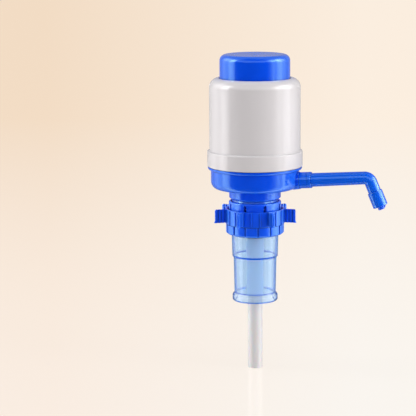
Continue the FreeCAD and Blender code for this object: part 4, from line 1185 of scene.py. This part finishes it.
# %% Spring
def spring_tree():
    """A coil of round wire that stands on Bottom."""
    tree, given = new_tree("coil", {
        "Bottom": 0.1, "Height": 0.06, "Coil Radius": 0.016, "Wire Radius": 0.0009,
        "Turns": 5.0})
    coil = made(tree, "GeometryNodeCurveSpiral", {
        "Resolution": 48, "Rotations": given["Turns"], "Height": given["Height"],
        "Start Radius": given["Coil Radius"], "End Radius": given["Coil Radius"]})
    wound = swept(tree, coil, circle(tree, 14, given["Wire Radius"]), caps=True)
    return close(tree, given, made(tree, "GeometryNodeTransform", {
        "Geometry": wound, "Translation": upright(tree, given["Bottom"])}))


spring = fit("return_spring_wound", grow(
    spring_tree(), seed, steel, Bottom=116.55 * MM, Height=62.5 * MM, Coil_Radius=16.0 * MM,
    Wire_Radius=0.9 * MM, Turns=5.0), None, steel, "return_spring")
for soft in (bellows, spring):
    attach(soft, "pump_body")
    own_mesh(soft)
print("spring:", len(spring.data.polygons), "faces")

# %% [markdown]
# ## Valves and seals
# The valves are thin silicone discs on stems that let air in and out of the bellows. The seals
# are flat rings with rounded edges. All are turned.


# %% Valves and seals
def disc_on_stem(radius, z, head_z):
    """A valve: a disc whose stem ends in a small head; both are 1 mm thick."""
    stem, head = 1.9, 3.2
    return [(0, z), (radius, z, 0.3), (radius, z + 1.0, 0.2), (stem, z + 1.0, 0.3),
            (stem, head_z, 0.2), (head, head_z, 0.3), (head, head_z + 1.0, 0.3),
            (0, head_z + 1.0)]


def flat_ring(inside, outside, z, top):
    return [(inside, z, 0.3), (outside, z, 0.3), (outside, top, 0.3), (inside, top, 0.3)]


for node, body, finish, outline in (
        ("intake_valve", "intake", silicone, disc_on_stem(13.0, 178.95, 183.85)),
        ("outlet_valve", "outlet", silicone, disc_on_stem(11.0, 111.95, 117.15)),
        ("neck_seal", "pump_body", blue_silicone, flat_ring(18.25, 20.25, 80.25, 81.25)),
        ("deck_seal", "pump_body", silicone, flat_ring(33.05, 35.25, 112.05, 113.05)),
        ("sleeve_seal", "pump_body", silicone, flat_ring(15.2, 18.15, 77.05, 78.55))):
    turned_piece(node, body, finish, outline, corner_steps=3, steps=96)

# %% [markdown]
# ## Finishes of the measured solids
# The measured solids take finishes of the same kinds, also those that a finer piece stands
# for, so the model looks alike however it is opened.

# %% Finishes
FINISH = {
    blue: ("press_cap", "pump_base", "clamp_collar", "lock_ring", "wing_nut", "spout_cuff",
           "spout_tube", "nozzle_sleeve"),
    soft_blue: ("dust_plug", "dust_strap"),
    white: ("housing",),
    inner: ("press_plate", "valve_deck", "bellows_clamp", "water_elbow", "outlet_pipe",
            "riser_pipe"),
    rubber: ("bellows",),
    silicone: ("intake_valve", "outlet_valve", "neck_seal", "deck_seal", "sleeve_seal",
               "spout_seal"),
    steel: ("return_spring",),
    clear: ("neck_sleeve",),
    socket_milk: ("hose_socket",),
    milky: ("suction_tube",),
}
for finish, names in FINISH.items():
    for name in names:
        for slot in nodes[name].material_slots:
            slot.material = finish
print("finished", sum(len(names) for names in FINISH.values()), "solids")
